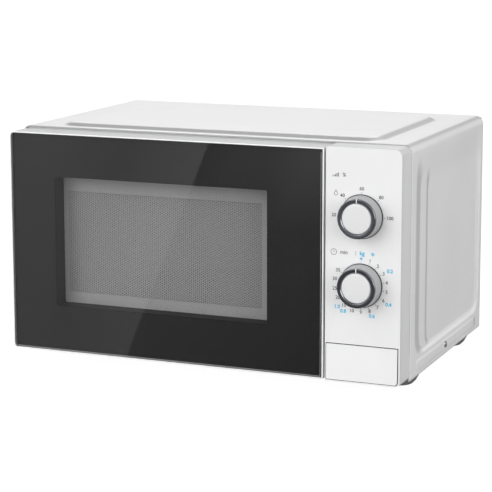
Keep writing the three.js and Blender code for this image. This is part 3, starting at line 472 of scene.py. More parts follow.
def piece(name, shape, look, body, replaces=(), sharp=35, close=True):
    """Makes the object, welds it, turns its faces outwards and ties it to a CAD body."""
    mesh = raw_mesh(name, shape)
    work = bmesh.new()
    work.from_mesh(mesh)
    bmesh.ops.remove_doubles(work, verts=work.verts, dist=2e-6)
    bmesh.ops.dissolve_degenerate(work, edges=work.edges, dist=1e-6)
    if close:
        bmesh.ops.recalc_face_normals(work, faces=work.faces)
    work.to_mesh(mesh)
    work.free()
    mesh.materials.append(look)
    mesh.shade_smooth()
    mesh.set_sharp_from_angle(angle=math.radians(sharp))
    obj = placed(name, mesh)
    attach(obj, body)
    if replaces:
        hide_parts(*replaces)
    if close:
        flat = obj.modifiers.new("flat_faces", "WEIGHTED_NORMAL")
        flat.keep_sharp = True
    return obj


def soften(obj, width, segments=3, angle=40):
    bevel = obj.modifiers.new("soft_edges", "BEVEL")
    bevel.width = width * MM
    bevel.segments = segments
    bevel.limit_method = "ANGLE"
    bevel.angle_limit = math.radians(angle)
    bevel.harden_normals = True
    bevel.use_clamp_overlap = True
    if "flat_faces" in obj.modifiers:
        obj.modifiers.remove(obj.modifiers["flat_faces"])


def carve(obj, shape):
    """Cuts closed shapes out of a piece's mesh."""
    cutter_mesh = raw_mesh("cutter", shape)
    work = bmesh.new()
    work.from_mesh(cutter_mesh)
    bmesh.ops.recalc_face_normals(work, faces=work.faces)
    work.to_mesh(cutter_mesh)
    work.free()
    cutter = placed("cutter", cutter_mesh)
    cutting = obj.modifiers.new("carve", "BOOLEAN")
    cutting.operation = "DIFFERENCE"
    cutting.solver = "EXACT"
    cutting.object = cutter
    bpy.context.view_layer.update()
    evaluated = obj.evaluated_get(bpy.context.evaluated_depsgraph_get())
    carved = bpy.data.meshes.new_from_object(evaluated)
    obj.modifiers.remove(cutting)
    obj.data = carved
    bpy.data.objects.remove(cutter)


def thicken(obj):
    """Gives a folded sheet its thickness, inwards."""
    thick = obj.modifiers.new("sheet", "SOLIDIFY")
    thick.thickness = SHEET * MM
    thick.offset = -1


# ---------------------------------------------------------------- cabinet cover

COVER_LOW, COVER_HIGH = span("outer_cover")
SHEET = 0.8
HALF = 220.0
FOLD = 8.0
TOP = 255.6
# Each pressing has an outer and an inner rounded rectangle, their corner radii and its height.
PRESSED = {
    "recess": ((46, 289, 34, 244), (66, 285.5, 36.8, 222), (22, 18), -1.6),
    "floor": ((86, 283, 37.4, 228), (95, 280, 40.5, 214), (14, 12), -0.9),
    "strip": ((52, 277, 18.6, 30.4), (53.8, 275.2, 20.2, 28.8), (5.8, 4.2), 0.8),
    "top": ((-184, 184, 40, 251), (-175, 175, 47.5, 249.5), (20, 16), 3.5),
    "bulge": ((-196, 98, 40, 236), (-186, 88, 50, 226), (14, 9), 5.0),
}


def rect_distance(u, v, rect, radius):
    """Signed distance to a rounded rectangle, negative inside."""
    u0, u1, v0, v1 = rect
    du = np.abs(u - (u0 + u1) / 2) - (u1 - u0) / 2 + radius
    dv = np.abs(v - (v0 + v1) / 2) - (v1 - v0) / 2 + radius
    outside = np.hypot(np.maximum(du, 0), np.maximum(dv, 0))
    return outside + np.minimum(np.maximum(du, dv), 0) - radius


def pressed(u, v, name):
    """Height of one pressing at (u, v), with rounded bends at its top and foot."""
    outer, inner, radii, height = PRESSED[name]
    from_outer = np.maximum(-rect_distance(u, v, outer, radii[0]), 0)
    to_inner = np.maximum(rect_distance(u, v, inner, radii[1]), 0)
    share = from_outer / np.maximum(from_outer + to_inner, 1e-9)
    bend = share * share * (3 - 2 * share)
    return height * (0.45 * share + 0.55 * bend)


def lines(start, end, coarse, fine, *bands):
    """Grid stations with a fine spacing inside the bands and a coarse one elsewhere."""
    stations = [start]
    while stations[-1] < end - 1e-6:
        here = stations[-1]
        inside = any(a <= here < b for a, b in bands)
        step = fine if inside else coarse
        limits = [edge for band in bands for edge in band if here + 1e-6 < edge < here + step]
        stations.append(min([here + step, end, *limits]))
    return stations


def grid(count, rows, keep=lambda row, column: True):
    """Quads of a grid of points, `count` to a row."""
    faces = []
    for r in range(rows - 1):
        for c in range(count - 1):
            a, b = r * count + c, (r + 1) * count + c
            if keep(r, c):
                faces.append((a, b, b + 1, a + 1))
    return faces


def outer_cover():
    """The folded sheet of both sides and the top, with its pressings and its rounded front hem."""
    depth = lines(COVER_LOW.y, COVER_HIGH.y, 8, 1.3, (31, 34), (38, 100), (240, 254), (276, 292), (294, 297))
    heights = lines(COVER_LOW.z, TOP - FOLD, 9, 1.4, (16, 44), (196, 247))
    widths = lines(-HALF + FOLD, HALF - FOLD, 14, 1.6, (-188, -158), (158, 188))
    section = [(-HALF, z, -1, 0, "side") for z in heights]
    fold_steps = 8
    for k in range(1, fold_steps):
        turn = math.pi - math.pi / 2 * k / fold_steps
        section.append((-HALF + FOLD + FOLD * math.cos(turn), TOP - FOLD + FOLD * math.sin(turn),
                        math.cos(turn), math.sin(turn), "fold"))
    section += [(x, TOP, 0, 1, "top") for x in widths]
    left_half = section[:len(heights) + fold_steps - 1]
    section += [(-x, z, -nx, nz, kind) for x, z, nx, nz, kind in reversed(left_half)]
    hem = 0.7
    rows = []
    for x, z, nx, nz, kind in section:
        y = np.array(depth)
        if kind == "side":
            level = pressed(y, z, "recess") + pressed(y, z, "floor") + pressed(y, z, "strip")
        elif kind == "top":
            level = pressed(x, y, "top")
        else:
            level = np.zeros_like(y)
        into = np.clip(hem - (y - COVER_LOW.y), 0, hem)
        level = level - (hem - np.sqrt(hem ** 2 - into ** 2))
        rows.append([(x + nx * h, yy, z + nz * h) for yy, h in zip(y, level)])
    shape = Shape().add([p for row in rows for p in row], grid(len(depth), len(rows)))
    cover = piece("cover_sheet", shape, PAINT, "cabinet", ["outer_cover"], 50, close=False)
    cover.data.flip_normals()
    thicken(cover)


outer_cover()


def cover_screw(side, node):
    """A pan head screw with a cross recess, its axis along x."""
    low, high = span(node)
    _, y, z = middle(node)
    radius = (high.y - low.y) / 2
    head = 2.0
    seat = (high.x if side > 0 else -low.x) - head
    slot_half, slot_end, slot_depth = 0.55, 2.3, 1.25
    rings, sectors = 26, 72
    shape = Shape()
    loops = []
    for i in range(rings + 1):
        r = radius * (1 - i / rings)
        dome = head * math.sqrt(max(0, 1 - (r / radius) ** 2.6))
        loop = []
        for turn in turns_of(sectors):
            a, b = r * math.cos(turn), r * math.sin(turn)
            arm = min(abs(a), abs(b))
            slot = max(0, min(1, (slot_half - arm) / 0.18)) * max(0, min(1, (slot_end - r) / 0.35))
            loop.append((side * (seat + dome - slot_depth * slot), y + a, z + b))
        loops.append(loop)
    rim = [(side * (seat - 0.3), py, pz) for _, py, pz in loops[0]]
    shape.loft([rim, *loops])
    shape.lathe("x", (0, y, z), [(2.1, side * (seat - 8)), (2.1, side * (seat - 0.1))], 24)
    piece(f"{node}_head", shape, SCREW_STEEL, "cabinet", [node], 50)


def foot(node):
    """A tapered rubber foot with a hollow under it and a peg that goes up through the base plate."""
    x, y, _ = middle(node)
    top, peg, peg_top = 13.9, 4, span(node)[1].z
    profile = [(0, 0.9), (7, 0.9), (8.5, 0), (14, 0), (15.5, 1.4), (18.1, 4), (22.3, top - 2.4),
               (23, top - 1.2), (23, top), (peg, top), (peg, peg_top), (0, peg_top)]
    shape = Shape().lathe("z", (x, y, 0), rounded_profile(profile, 0.7), 64)
    piece(f"{node}_rubber", shape, RUBBER, "cabinet", [node], 40)


cover_screw(1, "cover_screw_right")
cover_screw(-1, "cover_screw_left")
for foot_node in ("front_left_foot", "rear_left_foot", "front_right_foot", "rear_right_foot"):
    foot(foot_node)


def rear_panel():
    """The back sheet with its pressed bulge and the rows of air slots."""
    low, high = span("rear_panel")
    front = 295.2
    gx, _, gz = middle("cord_gland")
    slot_left, slot_right, slot_pitch = 118, 206, 9.5
    slots = [(slot_left, slot_right, 146 + slot_pitch * i, 150.5 + slot_pitch * i) for i in range(8)]
    us = lines(low.x, high.x, 12, 1.6, (-197, -184), (86, 99), (gx - 12, gx + 12))
    us = sorted(set(us) | {slot_left, slot_right})
    cuts = {edge for slot in slots for edge in slot[2:]}
    vs = sorted(set(lines(low.z, high.z, 12, 1.6, (39, 52), (gz - 12, gz + 12), (224, 237))) | cuts)
    points = []
    for v in vs:
        for u in us:
            points.append((u, front + SHEET + float(pressed(u, v, "bulge")), v))
    hole, corner_u, corner_v, corner = 8.2, 210, 246, 8.6

    def solid(r, c):
        u, v = (us[c] + us[c + 1]) / 2, (vs[r] + vs[r + 1]) / 2
        if any(a < u < b and p < v < q for a, b, p, q in slots) or math.hypot(u - gx, v - gz) < hole:
            return False
        past_corner = abs(u) > corner_u and v > corner_v
        return not (past_corner and math.hypot(abs(u) - corner_u, v - corner_v) > corner)

    shape = Shape().add(points, grid(len(us), len(vs), solid))
    thicken(piece("rear_sheet", shape, GALVANISED, "cabinet", ["rear_panel"], 50,
                  close=False))


rear_panel()

# ---------------------------------------------------------------- control panel

PANEL_LOW, PANEL_HIGH = span("control_panel")
BUTTON_LOW, BUTTON_HIGH = span("release_button")


def control_panel():
    """The deep moulding on the right, open at its back, with the button's opening; the black box and lining
    behind the opening are painted shade for the gap round the button.
    """
    left, right, bottom, top = PANEL_LOW.x, PANEL_HIGH.x, PANEL_LOW.z, PANEL_HIGH.z
    wall, rear = 3.0, PANEL_HIGH.y
    outer = rounded(left, right, bottom, top, (0.6, 4.5, 7, 0.6), 8)
    inner = rounded(left + 1, right - 2, bottom + 1.6, top - 2, (0.4, 3, 5, 0.4), 8)
    opening = rounded(BUTTON_LOW.x - 0.65, BUTTON_HIGH.x + 1.15, BUTTON_LOW.z - 0.7, BUTTON_HIGH.z + 1.0,
                      (0.5, 3.8, 0.5, 0.5), 8)
    shape = Shape()
    shape.cap([outer, opening], 0)
    shape.loft([at_y(outer, 0), at_y(outer, rear), at_y(inner, rear), at_y(inner, wall)])
    back = rounded(left + 1.1, right - 2.1, bottom + 1.7, BUTTON_HIGH.z + 1.0, (0.5, 3.3, 0.5, 0.5), 8)
    shape.cap([inner, back], wall)
    shape.loft([at_y(opening, 0), at_y(back, wall)])
    soften(piece("panel_shell", shape, WHITE, "cabinet", ["control_panel"]), 0.55)
    # painted shade: a black box behind the opening stands in for the shade inside the button's gap
    shadow_pocket = Shape().box(left + 1.1, right - 2.1, 17, 19, bottom + 1.7, BUTTON_HIGH.z + 1.2)
    shadow_pocket.box(left + 1.1, right - 2.1, wall + 0.1, 22, BUTTON_HIGH.z + 1.2, BUTTON_HIGH.z + 3)
    soften(piece("panel_button_shadow_pocket", shadow_pocket, BLACK, "cabinet"), 0.3)
    # painted shade: a black lining round the opening darkens the gap round the button
    clear = rounded(BUTTON_LOW.x - 0.15, BUTTON_HIGH.x + 0.15, BUTTON_LOW.z - 0.15, BUTTON_HIGH.z + 0.15,
                    (0.5, 3.1, 0.5, 0.5), 8)
    shadow_liner = Shape().slab(opening, [clear], 0.45, wall - 0.1)
    piece("panel_button_shadow_liner", shadow_liner, BLACK, "cabinet")


def release_button():
    """The button's hollow face and the rib that pushes the latch lever."""
    left, right, bottom, top = BUTTON_LOW.x, BUTTON_HIGH.x, BUTTON_LOW.z, BUTTON_HIGH.z
    face = rounded(left, right, bottom, top, (0.6, 3, 0.6, 0.6), 8)
    hollow = rounded(left + 1.6, right - 1.6, bottom + 1.6, top - 1.6, (0.3, 1.8, 0.3, 0.3), 8)
    shape = Shape()
    shape.cap([face], 0)
    shape.loft([at_y(face, 0), at_y(face, 9), at_y(hollow, 9), at_y(hollow, 2.6)])
    shape.cap([hollow], 2.6)
    soften(piece("button_face", shape, WHITE, "button", ["release_button"]), 0.6)
    x, z = 151.5, 34
    rib = Shape().box(x - 2, x + 2, 2.2, BUTTON_HIGH.y, z - 6, z + 6)
    soften(piece("button_rib", rib, WHITE, "button"), 0.4)


control_panel()
release_button()


def knob(name):
    """A dial: tapered collar, dark chrome ring with a marker notch, and a domed cap; a black ring at the
    collar's foot is painted shade for the contact shadow under the knob.
    """
    low, high = span(f"{name}_knob_body")
    ring_low, ring_high = span(f"{name}_knob_ring")
    cap_low, cap_high = span(f"{name}_knob_cap")
    x, z = (low.x + high.x) / 2, (low.z + high.z) / 2
    centre = (x, 0, z)
    base, tip = (high.x - low.x) / 2, (ring_high.x - ring_low.x) / 2
    bore = (cap_high.x - cap_low.x) / 2
    face, seat = ring_low.y, ring_high.y
    body = f"{name}_knob"
    shaft, heel = 3.4, -0.6
    skirt = [(shaft, heel), (base, heel), (base, -1.5), (base - 0.55, -2.1), (tip + 0.15, seat - 0.1),
             (tip - 0.6, seat + 0.3), (bore + 0.3, seat + 0.3), (bore + 0.3, seat + 3), (shaft, seat + 3),
             (shaft, heel)]
    collar = Shape().lathe("y", centre, rounded_profile(skirt, 0.35), 112)
    piece(f"{name}_knob_collar", collar, GREY, body, [f"{name}_knob_body"], 30)
    # painted shade: a black ring at the collar's foot stands in for the contact shadow between the knob and
    # the panel
    foot_shadow_outline = [(base - 0.3, -1.4), (base + 0.5, -1.2), (base + 0.8, -0.25), (base - 2, -0.25), (base - 2, -1.1),
            (base - 0.3, -1.4)]
    foot_shadow_ring = Shape().lathe("y", centre, foot_shadow_outline, 112)
    piece(f"{name}_knob_foot_shadow", foot_shadow_ring, BLACK, body, (), 30)
    inside = bore + 0.25
    rim = [(inside, seat), (tip - 0.4, seat), (tip, seat - 0.4), (tip, face + 0.9), (tip - 0.35, face + 0.25),
           (tip - 1.0, face), (bore + 1.1, face + 0.1), (inside, face + 0.9), (inside, seat)]
    ring = Shape().lathe("y", centre, rounded_profile(rim, 0.3), 112)
    piece(f"{name}_knob_chrome", ring, DARK_CHROME, body, [f"{name}_knob_ring"], 30)
    mark = Shape().box(x - 0.55, x + 0.55, face, face + 1.4, z + bore + 0.5, z + tip - 0.15)
    soften(piece(f"{name}_knob_marker", mark, PRINT_MARK, body), 0.12)
    crown = [(0, face + 0.05), (bore * 0.5, face + 0.12), (bore - 1.4, face + 0.35),
             (bore - 0.35, face + 0.75), (bore, face + 1.5), (bore, cap_high.y), (0, cap_high.y)]
    cap = Shape().lathe("y", centre, rounded_profile(crown, 0.4), 112)
    piece(f"{name}_knob_button", cap, CAP_WHITE, body, [f"{name}_knob_cap"], 30)
    return centre


power_centre = knob("power")
timer_centre = knob("timer")

# ---------------------------------------------------------------- dial printing

PRINT_FACE = -0.04      # the ink lies just in front of the panel


def words(shape, text, x, z, size, align="CENTER", bold=0.0):
    """Adds lettering in the panel's plane, centred on (x, z) unless it is aligned left."""
    curve = bpy.data.curves.new("lettering", "FONT")
    curve.body = text
    curve.size = size
    curve.align_x = align
    curve.align_y = "CENTER"
    curve.offset = bold
    curve.resolution_u = 3
    holder = placed("lettering", curve)
    bpy.context.view_layer.update()
    mesh = bpy.data.meshes.new_from_object(holder.evaluated_get(bpy.context.evaluated_depsgraph_get()))
    shape.add([(x + v.co.x, PRINT_FACE, z + v.co.y) for v in mesh.vertices],
              [tuple(polygon.vertices) for polygon in mesh.polygons])
    bpy.data.objects.remove(holder)
    bpy.data.meshes.remove(mesh)
    bpy.data.curves.remove(curve)


def stroke(shape, x0, z0, x1, z1, width):
    """A straight inked line."""
    along = Vector((x1 - x0, z1 - z0)).normalized() * (width / 2)
    side = Vector((-along.y, along.x))
    corners = [(x0 - side.x, z0 - side.y), (x1 - side.x, z1 - side.y),
               (x1 + side.x, z1 + side.y), (x0 + side.x, z0 + side.y)]
    shape.add(at_y(corners, PRINT_FACE), [(0, 1, 2, 3)])


def annulus(shape, x, z, radius, width):
    shape.loft([[(x + r * math.cos(turn), PRINT_FACE, z + r * math.sin(turn)) for turn in turns_of(40)]
                for r in (radius - width / 2, radius + width / 2)])


def around(centre, degrees, radius):
    """The point at a clockwise angle from the top of a dial."""
    turn = math.radians(degrees)
    return centre[0] + radius * math.sin(turn), centre[2] + radius * math.cos(turn)


def tick(shape, centre, degrees):
    stroke(shape, *around(centre, degrees, 23.4), *around(centre, degrees, 24.8), 0.45)


def flake(shape, x, z, radius, width):
    """A six-armed snowflake."""
    for k in range(3):
        turn = math.pi / 3 * k
        dx, dz = radius * math.sin(turn), radius * math.cos(turn)
        stroke(shape, x - dx, z - dz, x + dx, z + dz, width)


POWER_MARKS = ((-90, "20", 29.3), (-45, "40", 28.6), (0, "60", 28), (45, "80", 28.8), (90, "100", 29.6))
WEIGHT_MARKS = (("0.2", 208.7, 133.2), ("0.4", 207.5, 99.2), ("0.6", 190.3, 86), ("0.8", 159.8, 88.8),
                ("1.0", 153.3, 93))


def dial_printing():
    """Generic marks: power steps and minutes in grey, weights and thawing in blue."""
    grey, blue = Shape(), Shape()
    for degrees, label, radius in POWER_MARKS:
        tick(grey, power_centre, degrees)
        x, z = around(power_centre, degrees, radius)
        words(grey, label, x, z, 4.9, bold=0.1)
    drop_x, drop_z = power_centre[0] - 27.2, power_centre[2] + 22.4
    arc = [math.radians(-215 + 250 * k / 20) for k in range(21)]
    drop = [(1.9 * math.cos(t), 1.9 * math.sin(t)) for t in arc] + [(0, 4.2)]
    grey.loft([[(drop_x + u * grow, PRINT_FACE, drop_z - 0.6 + v * grow) for u, v in drop]
               for grow in (0.72, 1)])
    bars_x, bars_z = 151.0, 227.5
    for k in range(5):
        bar = bars_x - 3.4 + 1.55 * k
        stroke(grey, bar, bars_z - 2, bar, bars_z - 1.3 + 0.85 * k, 0.9)
    words(grey, "%", bars_x + 9.0, bars_z, 5.4, bold=0.09)
    for degrees in range(0, 301, 20):
        tick(grey if degrees else blue, timer_centre, degrees)
    for index in range(1, 16):
        label = str(index) if index <= 10 else str(10 + 5 * (index - 10))
        x, z = around(timer_centre, 20 * index, 27.4 if index < 10 else 28.2)
        words(grey, label, x, z, 5.0, bold=0.1)
    header, clock = timer_centre[2] + 32.6, 149.4
    annulus(grey, clock, header, 3.0, 0.5)
    stroke(grey, clock, header, clock, header + 1.9, 0.4)
    stroke(grey, clock, header, clock + 1.4, header, 0.4)
    words(grey, "min", 156.2, header, 5.4, "LEFT", 0.09)
    stroke(grey, 172.7, header - 2.2, 172.7, header + 2.2, 0.35)
    words(blue, "kg", 179.4, header + 0.1, 5.8, bold=0.16)
    flake(blue, 190.6, header, 2.3, 0.55)
    flake(blue, *around(timer_centre, 0, 27.4), 1.9, 0.55)
    for label, x, z in WEIGHT_MARKS:
        words(blue, label, x, z, 5.2, bold=0.16)
    piece("dial_print_grey", grey, PRINT_GREY, "cabinet", close=False)
    piece("dial_print_blue", blue, PRINT_BLUE, "cabinet", close=False)


dial_printing()

# ---------------------------------------------------------------- door

DOOR_LOW, DOOR_HIGH = span("door_frame")
GLASS_LOW, GLASS_HIGH = span("door_glass")
WINDOW = (-168.5, 75.6, 65.9, 206.2)
PERFORATED = (-164, 62, 77, 189)
DOOR_RADII = (5, 0.8, 0.8, 5)


def inset_rect(rect, radii, inset):
    u0, u1, v0, v1 = rect
    return rounded(u0 + inset, u1 - inset, v0 + inset, v1 - inset, [max(r - inset, 0.15) for r in radii], 8)


def hinge_notches(shape):
    """Corner slots that clear the fixed hinge arms."""
    for node in ("upper_hinge", "lower_hinge"):
        low, high = span(node)
        bottom, top = (high.z - 0.9, high.z) if node == "upper_hinge" else (low.z, low.z + 0.9)
        shape.box(-226, -202, 4.8, 40, bottom - 0.4, top + 0.4)
    return shape


def door_frame():
    """The white rim round the glass, with a ledge behind it that carries the glass."""
    rect = (DOOR_LOW.x, DOOR_HIGH.x, DOOR_LOW.z, DOOR_HIGH.z)
    rear, wall, rim = DOOR_HIGH.y, 2.3, 1.2
    edge = [(rim, 0.1), (rim - 0.1, 0.0), (0.35, 0), (0.18, 0.06), (0.06, 0.18), (0, 0.35), (0, rear - 0.7),
            (0.2, rear - 0.2), (0.7, rear), (wall, rear), (wall, 6.1)]
    loops = [at_y(inset_rect(rect, DOOR_RADII, inset), y) for inset, y in edge]
    ledge = rounded(-206, 124, 30, 239, 4, 8)
    loops += [at_y(ledge, 6.1), at_y(ledge, 4.1), at_y(inset_rect(rect, DOOR_RADII, rim), 4.1)]
    shape = Shape().loft(loops, closed=True)
    rim_piece = piece("door_rim", shape, DOOR_WHITE, "door", ["door_frame"], 40)
    carve(rim_piece, hinge_notches(Shape()))


def door_glass():
    """The pane, its printed dark border behind it and the fine line along its bottom and right edges."""
    rect = (GLASS_LOW.x, GLASS_HIGH.x, GLASS_LOW.z, GLASS_HIGH.z)
    front, rear = GLASS_LOW.y, GLASS_HIGH.y
    radii = (3.5, 0.5, 0.5, 3.5)
    edge = [(0.25, front), (0.08, front + 0.08), (0, front + 0.25), (0, rear - 0.4), (0.4, rear)]
    loops = [at_y(inset_rect(rect, radii, inset), y) for inset, y in edge]
    shape = Shape().loft(loops, start_cap=True, end_cap=True)
    piece("door_pane", shape, TINTED, "door", ["door_glass"], 30)
    ink = rear + 0.06
    window = rounded(*WINDOW, 2, 8)
    border = Shape().loft([at_y(inset_rect(rect, radii, 0.1), ink), at_y(window, ink)])
    piece("door_pane_border", border, PRINT_BLACK, "door", close=False)
    # a light grey line drawn just in front of the glass along its bottom and right edges
    left, right, low, top = rect[0] + 3, rect[1] - 1.2, rect[2] + 1.2, rect[3] - 3
    width = 0.4
    path = [(left, low), (right, low), (right, top),
            (left, low + width), (right - width, low + width), (right - width, top)]
    line = Shape().add(at_y(path, front - 0.03), [(0, 1, 4, 3), (1, 2, 5, 4)])
    piece("door_pane_line", line, GLASS_EDGE_LINE, "door", close=False)


def window_shroud():
    """The dark sheet behind the glass with the tunnel round the window."""
    front, back = 6.4, 24.7
    window = rounded(*WINDOW, 2, 8)
    lip = inset_rect(WINDOW, (2.6,) * 4, -0.6)
    tube = inset_rect(WINDOW, (3.6,) * 4, -1.6)
    plate = rounded(-212, 131, 24, 245, 2, 8)
    rear = front + 1.6
    loops = [at_y(lip, front), at_y(window, front + 0.6), at_y(window, back), at_y(tube, back),
             at_y(tube, rear), at_y(plate, rear), at_y(plate, front)]
    shape = Shape().loft(loops, closed=True)
    piece("window_recess", shape, SHROUD, "door", ["window_shroud"], 40)


def perforated_screen():
    """The microwave screen: a folded steel pan whose window field is pierced by hexagonal holes."""
    low, high = span("door_screen")
    face, thick = 25.0, SHEET
    rim = rounded(low.x, high.x, low.z, high.z, 1, 4)
    inner = rounded(low.x + thick, high.x - thick, low.z + thick, high.z - thick, 0.5, 4)
    u0, u1, v0, v1 = PERFORATED
    pitch = 2.6
    across, up = pitch * math.sqrt(3) / 2, pitch
    columns, rows = int((u1 - u0) / across), int((v1 - v0) / up)
    left, bottom = (u0 + u1 - columns * across) / 2, (v0 + v1 - rows * up) / 2
    field = Shape()
    cell, hole = pitch / math.sqrt(3), 0.7
    turns = turns_of(6)
    for c in range(columns):
        for r in range(rows - c % 2):
            u = left + across * (c + 0.5)
            v = bottom + up * (r + 0.5 + 0.5 * (c % 2))
            ring = [(u + cell * math.cos(t), face, v + cell * math.sin(t)) for t in turns]
            rim_ring = [(u + hole * math.cos(t), face, v + hole * math.sin(t)) for t in turns]
            field.loft([ring, rim_ring])
    edge = 0.9
    frame_ring = rounded(u0 + edge, u1 - edge, v0 + edge, v1 - edge, 0.2, 4)
    lip, under = 8.4, face + 0.02
    sheet = Shape().loft([at_y(inner, lip + thick), at_y(inner, face), at_y(frame_ring, under)])
    sheet.loft([at_y(frame_ring, under), at_y(frame_ring, face + thick), at_y(rim, face + thick),
                at_y(rim, lip), at_y(inner, lip), at_y(inner, lip + thick)])
    pan = piece("screen_pan", sheet, SCREEN, "door", ["door_screen"], 40)
    carve(pan, latch_slots(Shape(), 18, 27, 1))
    piece("screen_holes", field, SCREEN, "door", sharp=60, close=False)


def latch_slots(shape, front, back, margin):
    """Openings that the two hooks pass through, with room for their lift."""
    hook_x = middle("latch_hooks").x
    for z in (196, 76):
        shape.box(hook_x - 4 - margin, hook_x + 4 + margin, front, back, z - 4 - margin, z + 12 + margin)
    return shape


def choke_cover():
    """The dark frame on the door's inner face."""
    low, high = span("choke_cover")
    outline = rounded(low.x, high.x, low.z, high.z, (4, 0.5, 0.5, 4), 8)
    opening = rounded(-190, 97, 48, 224, 6, 8)
    shape = Shape().slab(outline, [opening], low.y, high.y)
    cover = piece("choke_ring", shape, BLACK, "door", ["choke_cover"])
    carve(cover, latch_slots(hinge_notches(Shape()), low.y - 5, high.y + 5, 1))
    soften(cover, 0.4, 2)


door_frame()
door_glass()
window_shroud()
perforated_screen()
choke_cover()

# ---------------------------------------------------------------- turntable

TRAY_X, TRAY_Y, _ = middle("glass_turntable")


def swung(shape, turn):
    """A shape drawn along +x, swung about the turntable's axis."""
    cos, sin = math.cos(turn), math.sin(turn)
    points = [(TRAY_X + x * cos - y * sin, TRAY_Y + x * sin + y * cos, z) for x, y, z in shape.points]
    return Shape().add(points, shape.faces)


def glass_plate():
    """The glass tray with two raised rings under it, and the three studs that the coupler turns."""
    x, y = TRAY_X, TRAY_Y
    low, high = span("glass_turntable")
    under, radius = 48.9, (high.x - low.x) / 2
    rib, floor_top = under - 0.7, under + 4.6
    profile = [(0, under), (40, under), (40.8, rib), (42.2, rib), (43, under), (78, under), (78.8, rib),
               (80.2, rib), (81, under), (103, under), (109, under + 1.6), (118, under + 9),
               (radius, under + 12), (radius, under + 13.6), (radius - 2, under + 14),
               (radius - 7, under + 12.2), (107, under + 6.4), (102, floor_top), (0, floor_top)]
    shape = Shape().lathe("z", (x, y, 0), rounded_profile(profile, 1.2), 128)
    piece("turntable_plate", shape, CLEAR, "turntable", ["glass_turntable"], 40)
    dogs = Shape()
    for third in turns_of(3):
        turn = third + math.pi / 3
        centre = (x + 18 * math.cos(turn), y + 18 * math.sin(turn), 0)
        dogs.lathe("z", centre, rounded_profile([(0, 44.9), (3.2, 44.9), (3.9, 48.95), (0, 48.95)], 0.8), 32)
    piece("turntable_dogs", dogs, CLEAR, "turntable", sharp=40)


def roller_support():
    """A ring of channel section with three axle stubs, and a wheel on each."""
    mid = middle("roller_ring").z
    inner, outer, web, half = 82.0, 90.4, 2, 3
    profile = [(inner, mid - half), (outer, mid - half), (outer, mid + half), (outer - web, mid + half),
               (outer - web, mid), (inner + web, mid), (inner + web, mid + half), (inner, mid + half),
               (inner, mid - half)]
    shape = Shape().lathe("z", (TRAY_X, TRAY_Y, 0), rounded_profile(profile, 0.6), 128)
    axle = rounded_profile([(0, 86), (1.9, 86), (1.9, 101), (0, 101)], 0.4)
    tyre = [(2.1, 91), (6.2, 91), (7.5, 92.2), (7.5, 97.8), (6.2, 99), (2.1, 99), (2.1, 91)]
    for turn in turns_of(3):
        stub = swung(Shape().lathe("x", (0, 0, mid), axle, 24), turn)
        shape.add(stub.points, stub.faces)
    piece("roller_ring_moulding", shape, NATURAL, "roller_support", ["roller_ring"], 40)
    for number, turn in enumerate(turns_of(3), 1):
        wheel = swung(Shape().lathe("x", (0, 0, mid), rounded_profile(tyre, 0.6), 48), turn)
        node = f"roller_wheel_{number}"
        piece(f"{node}_tyre", wheel, BLACK, f"roller_{number}", [node], 40)


glass_plate()
roller_support()

# ---------------------------------------------------------------- springs

def coil_spring(node, body, axis):
    """A compression spring along an axis, with a closed turn at each end."""
    low, high = span(node)
    centre = middle(node)
    start, end = low[axis], high[axis]
    across = [k for k in range(3) if k != axis]
    wire, sides, turns, steps = 0.5, 10, 6, 32
    closed_turn = 0.8
    radius = (high[across[0]] - low[across[0]]) / 2 - wire
    loops = []
    for i in range(turns * steps + 1):
        turned = i / steps
        turn = 2 * math.pi * turned
        climb = min(max((turned - closed_turn) / (turns - 2 * closed_turn), 0), 1)
        station = start + wire + (end - start - 2 * wire) * climb
        loop = []
        for about in turns_of(sides):
            reach = radius + wire * math.cos(about)
            point = [0, 0, 0]
            point[axis] = station + wire * math.sin(about)
            point[across[0]] = centre[across[0]] + reach * math.cos(turn)
            point[across[1]] = centre[across[1]] + reach * math.sin(turn)
            loop.append(tuple(point))
        loops.append(loop)
    shape = Shape().loft(loops, start_cap=True, end_cap=True)
    spring = piece(f"{node}_coil", shape, ZINC, body, [node], 60)
    anchor = centre * MM + Vector((0, FRONT, 0))
    anchor[axis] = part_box(node)[1][axis]
    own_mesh(spring)


coil_spring("button_spring", "cabinet", 1)
coil_spring("hook_spring", "door", 2)

# ---------------------------------------------------------------- CAD pieces that stay

# Each row has a material, the width of the softened edges (0 leaves them as they are) and its nodes.
KEPT = (
    (PAINT_FRONT, 0, "front_plate"), (ENAMEL, 0, "oven_cavity"), (FILM, 0, "door_film"),
    (GALVANISED, 0.2, "base_plate"), (GALVANISED, 0.3, "waveguide magnetron_yoke"),
    (BLACK, 0.3, "cord_gland thermal_cutout primary_microswitch monitor_microswitch secondary_microswitch"),
    (ZINC, 0.2, "upper_hinge lower_hinge"), (ZINC, 0.4, "turntable_motor"), (MICA, 0.1, "waveguide_cover"),
    (ALUMINIUM, 0.15, "magnetron_anode"), (ALUMINIUM, 0.2, "hv_capacitor"),
    (STACK, 0.3, "transformer_core fan_motor"), (COPPER, 0.8, "transformer_primary transformer_secondary"),
    (CLEAR, 0.2, "cavity_lamp"), (BOARD, 0.2, "fuse_board"), (NATURAL, 0.2, "power_shaft timer_shaft"),
    (NATURAL, 0.3, "fan_blade interlock_bracket latch_lever"), (NATURAL, 0.5, "fan_shroud"),
    (NATURAL, 0.4, "timer_unit latch_hooks drive_coupler"),
)


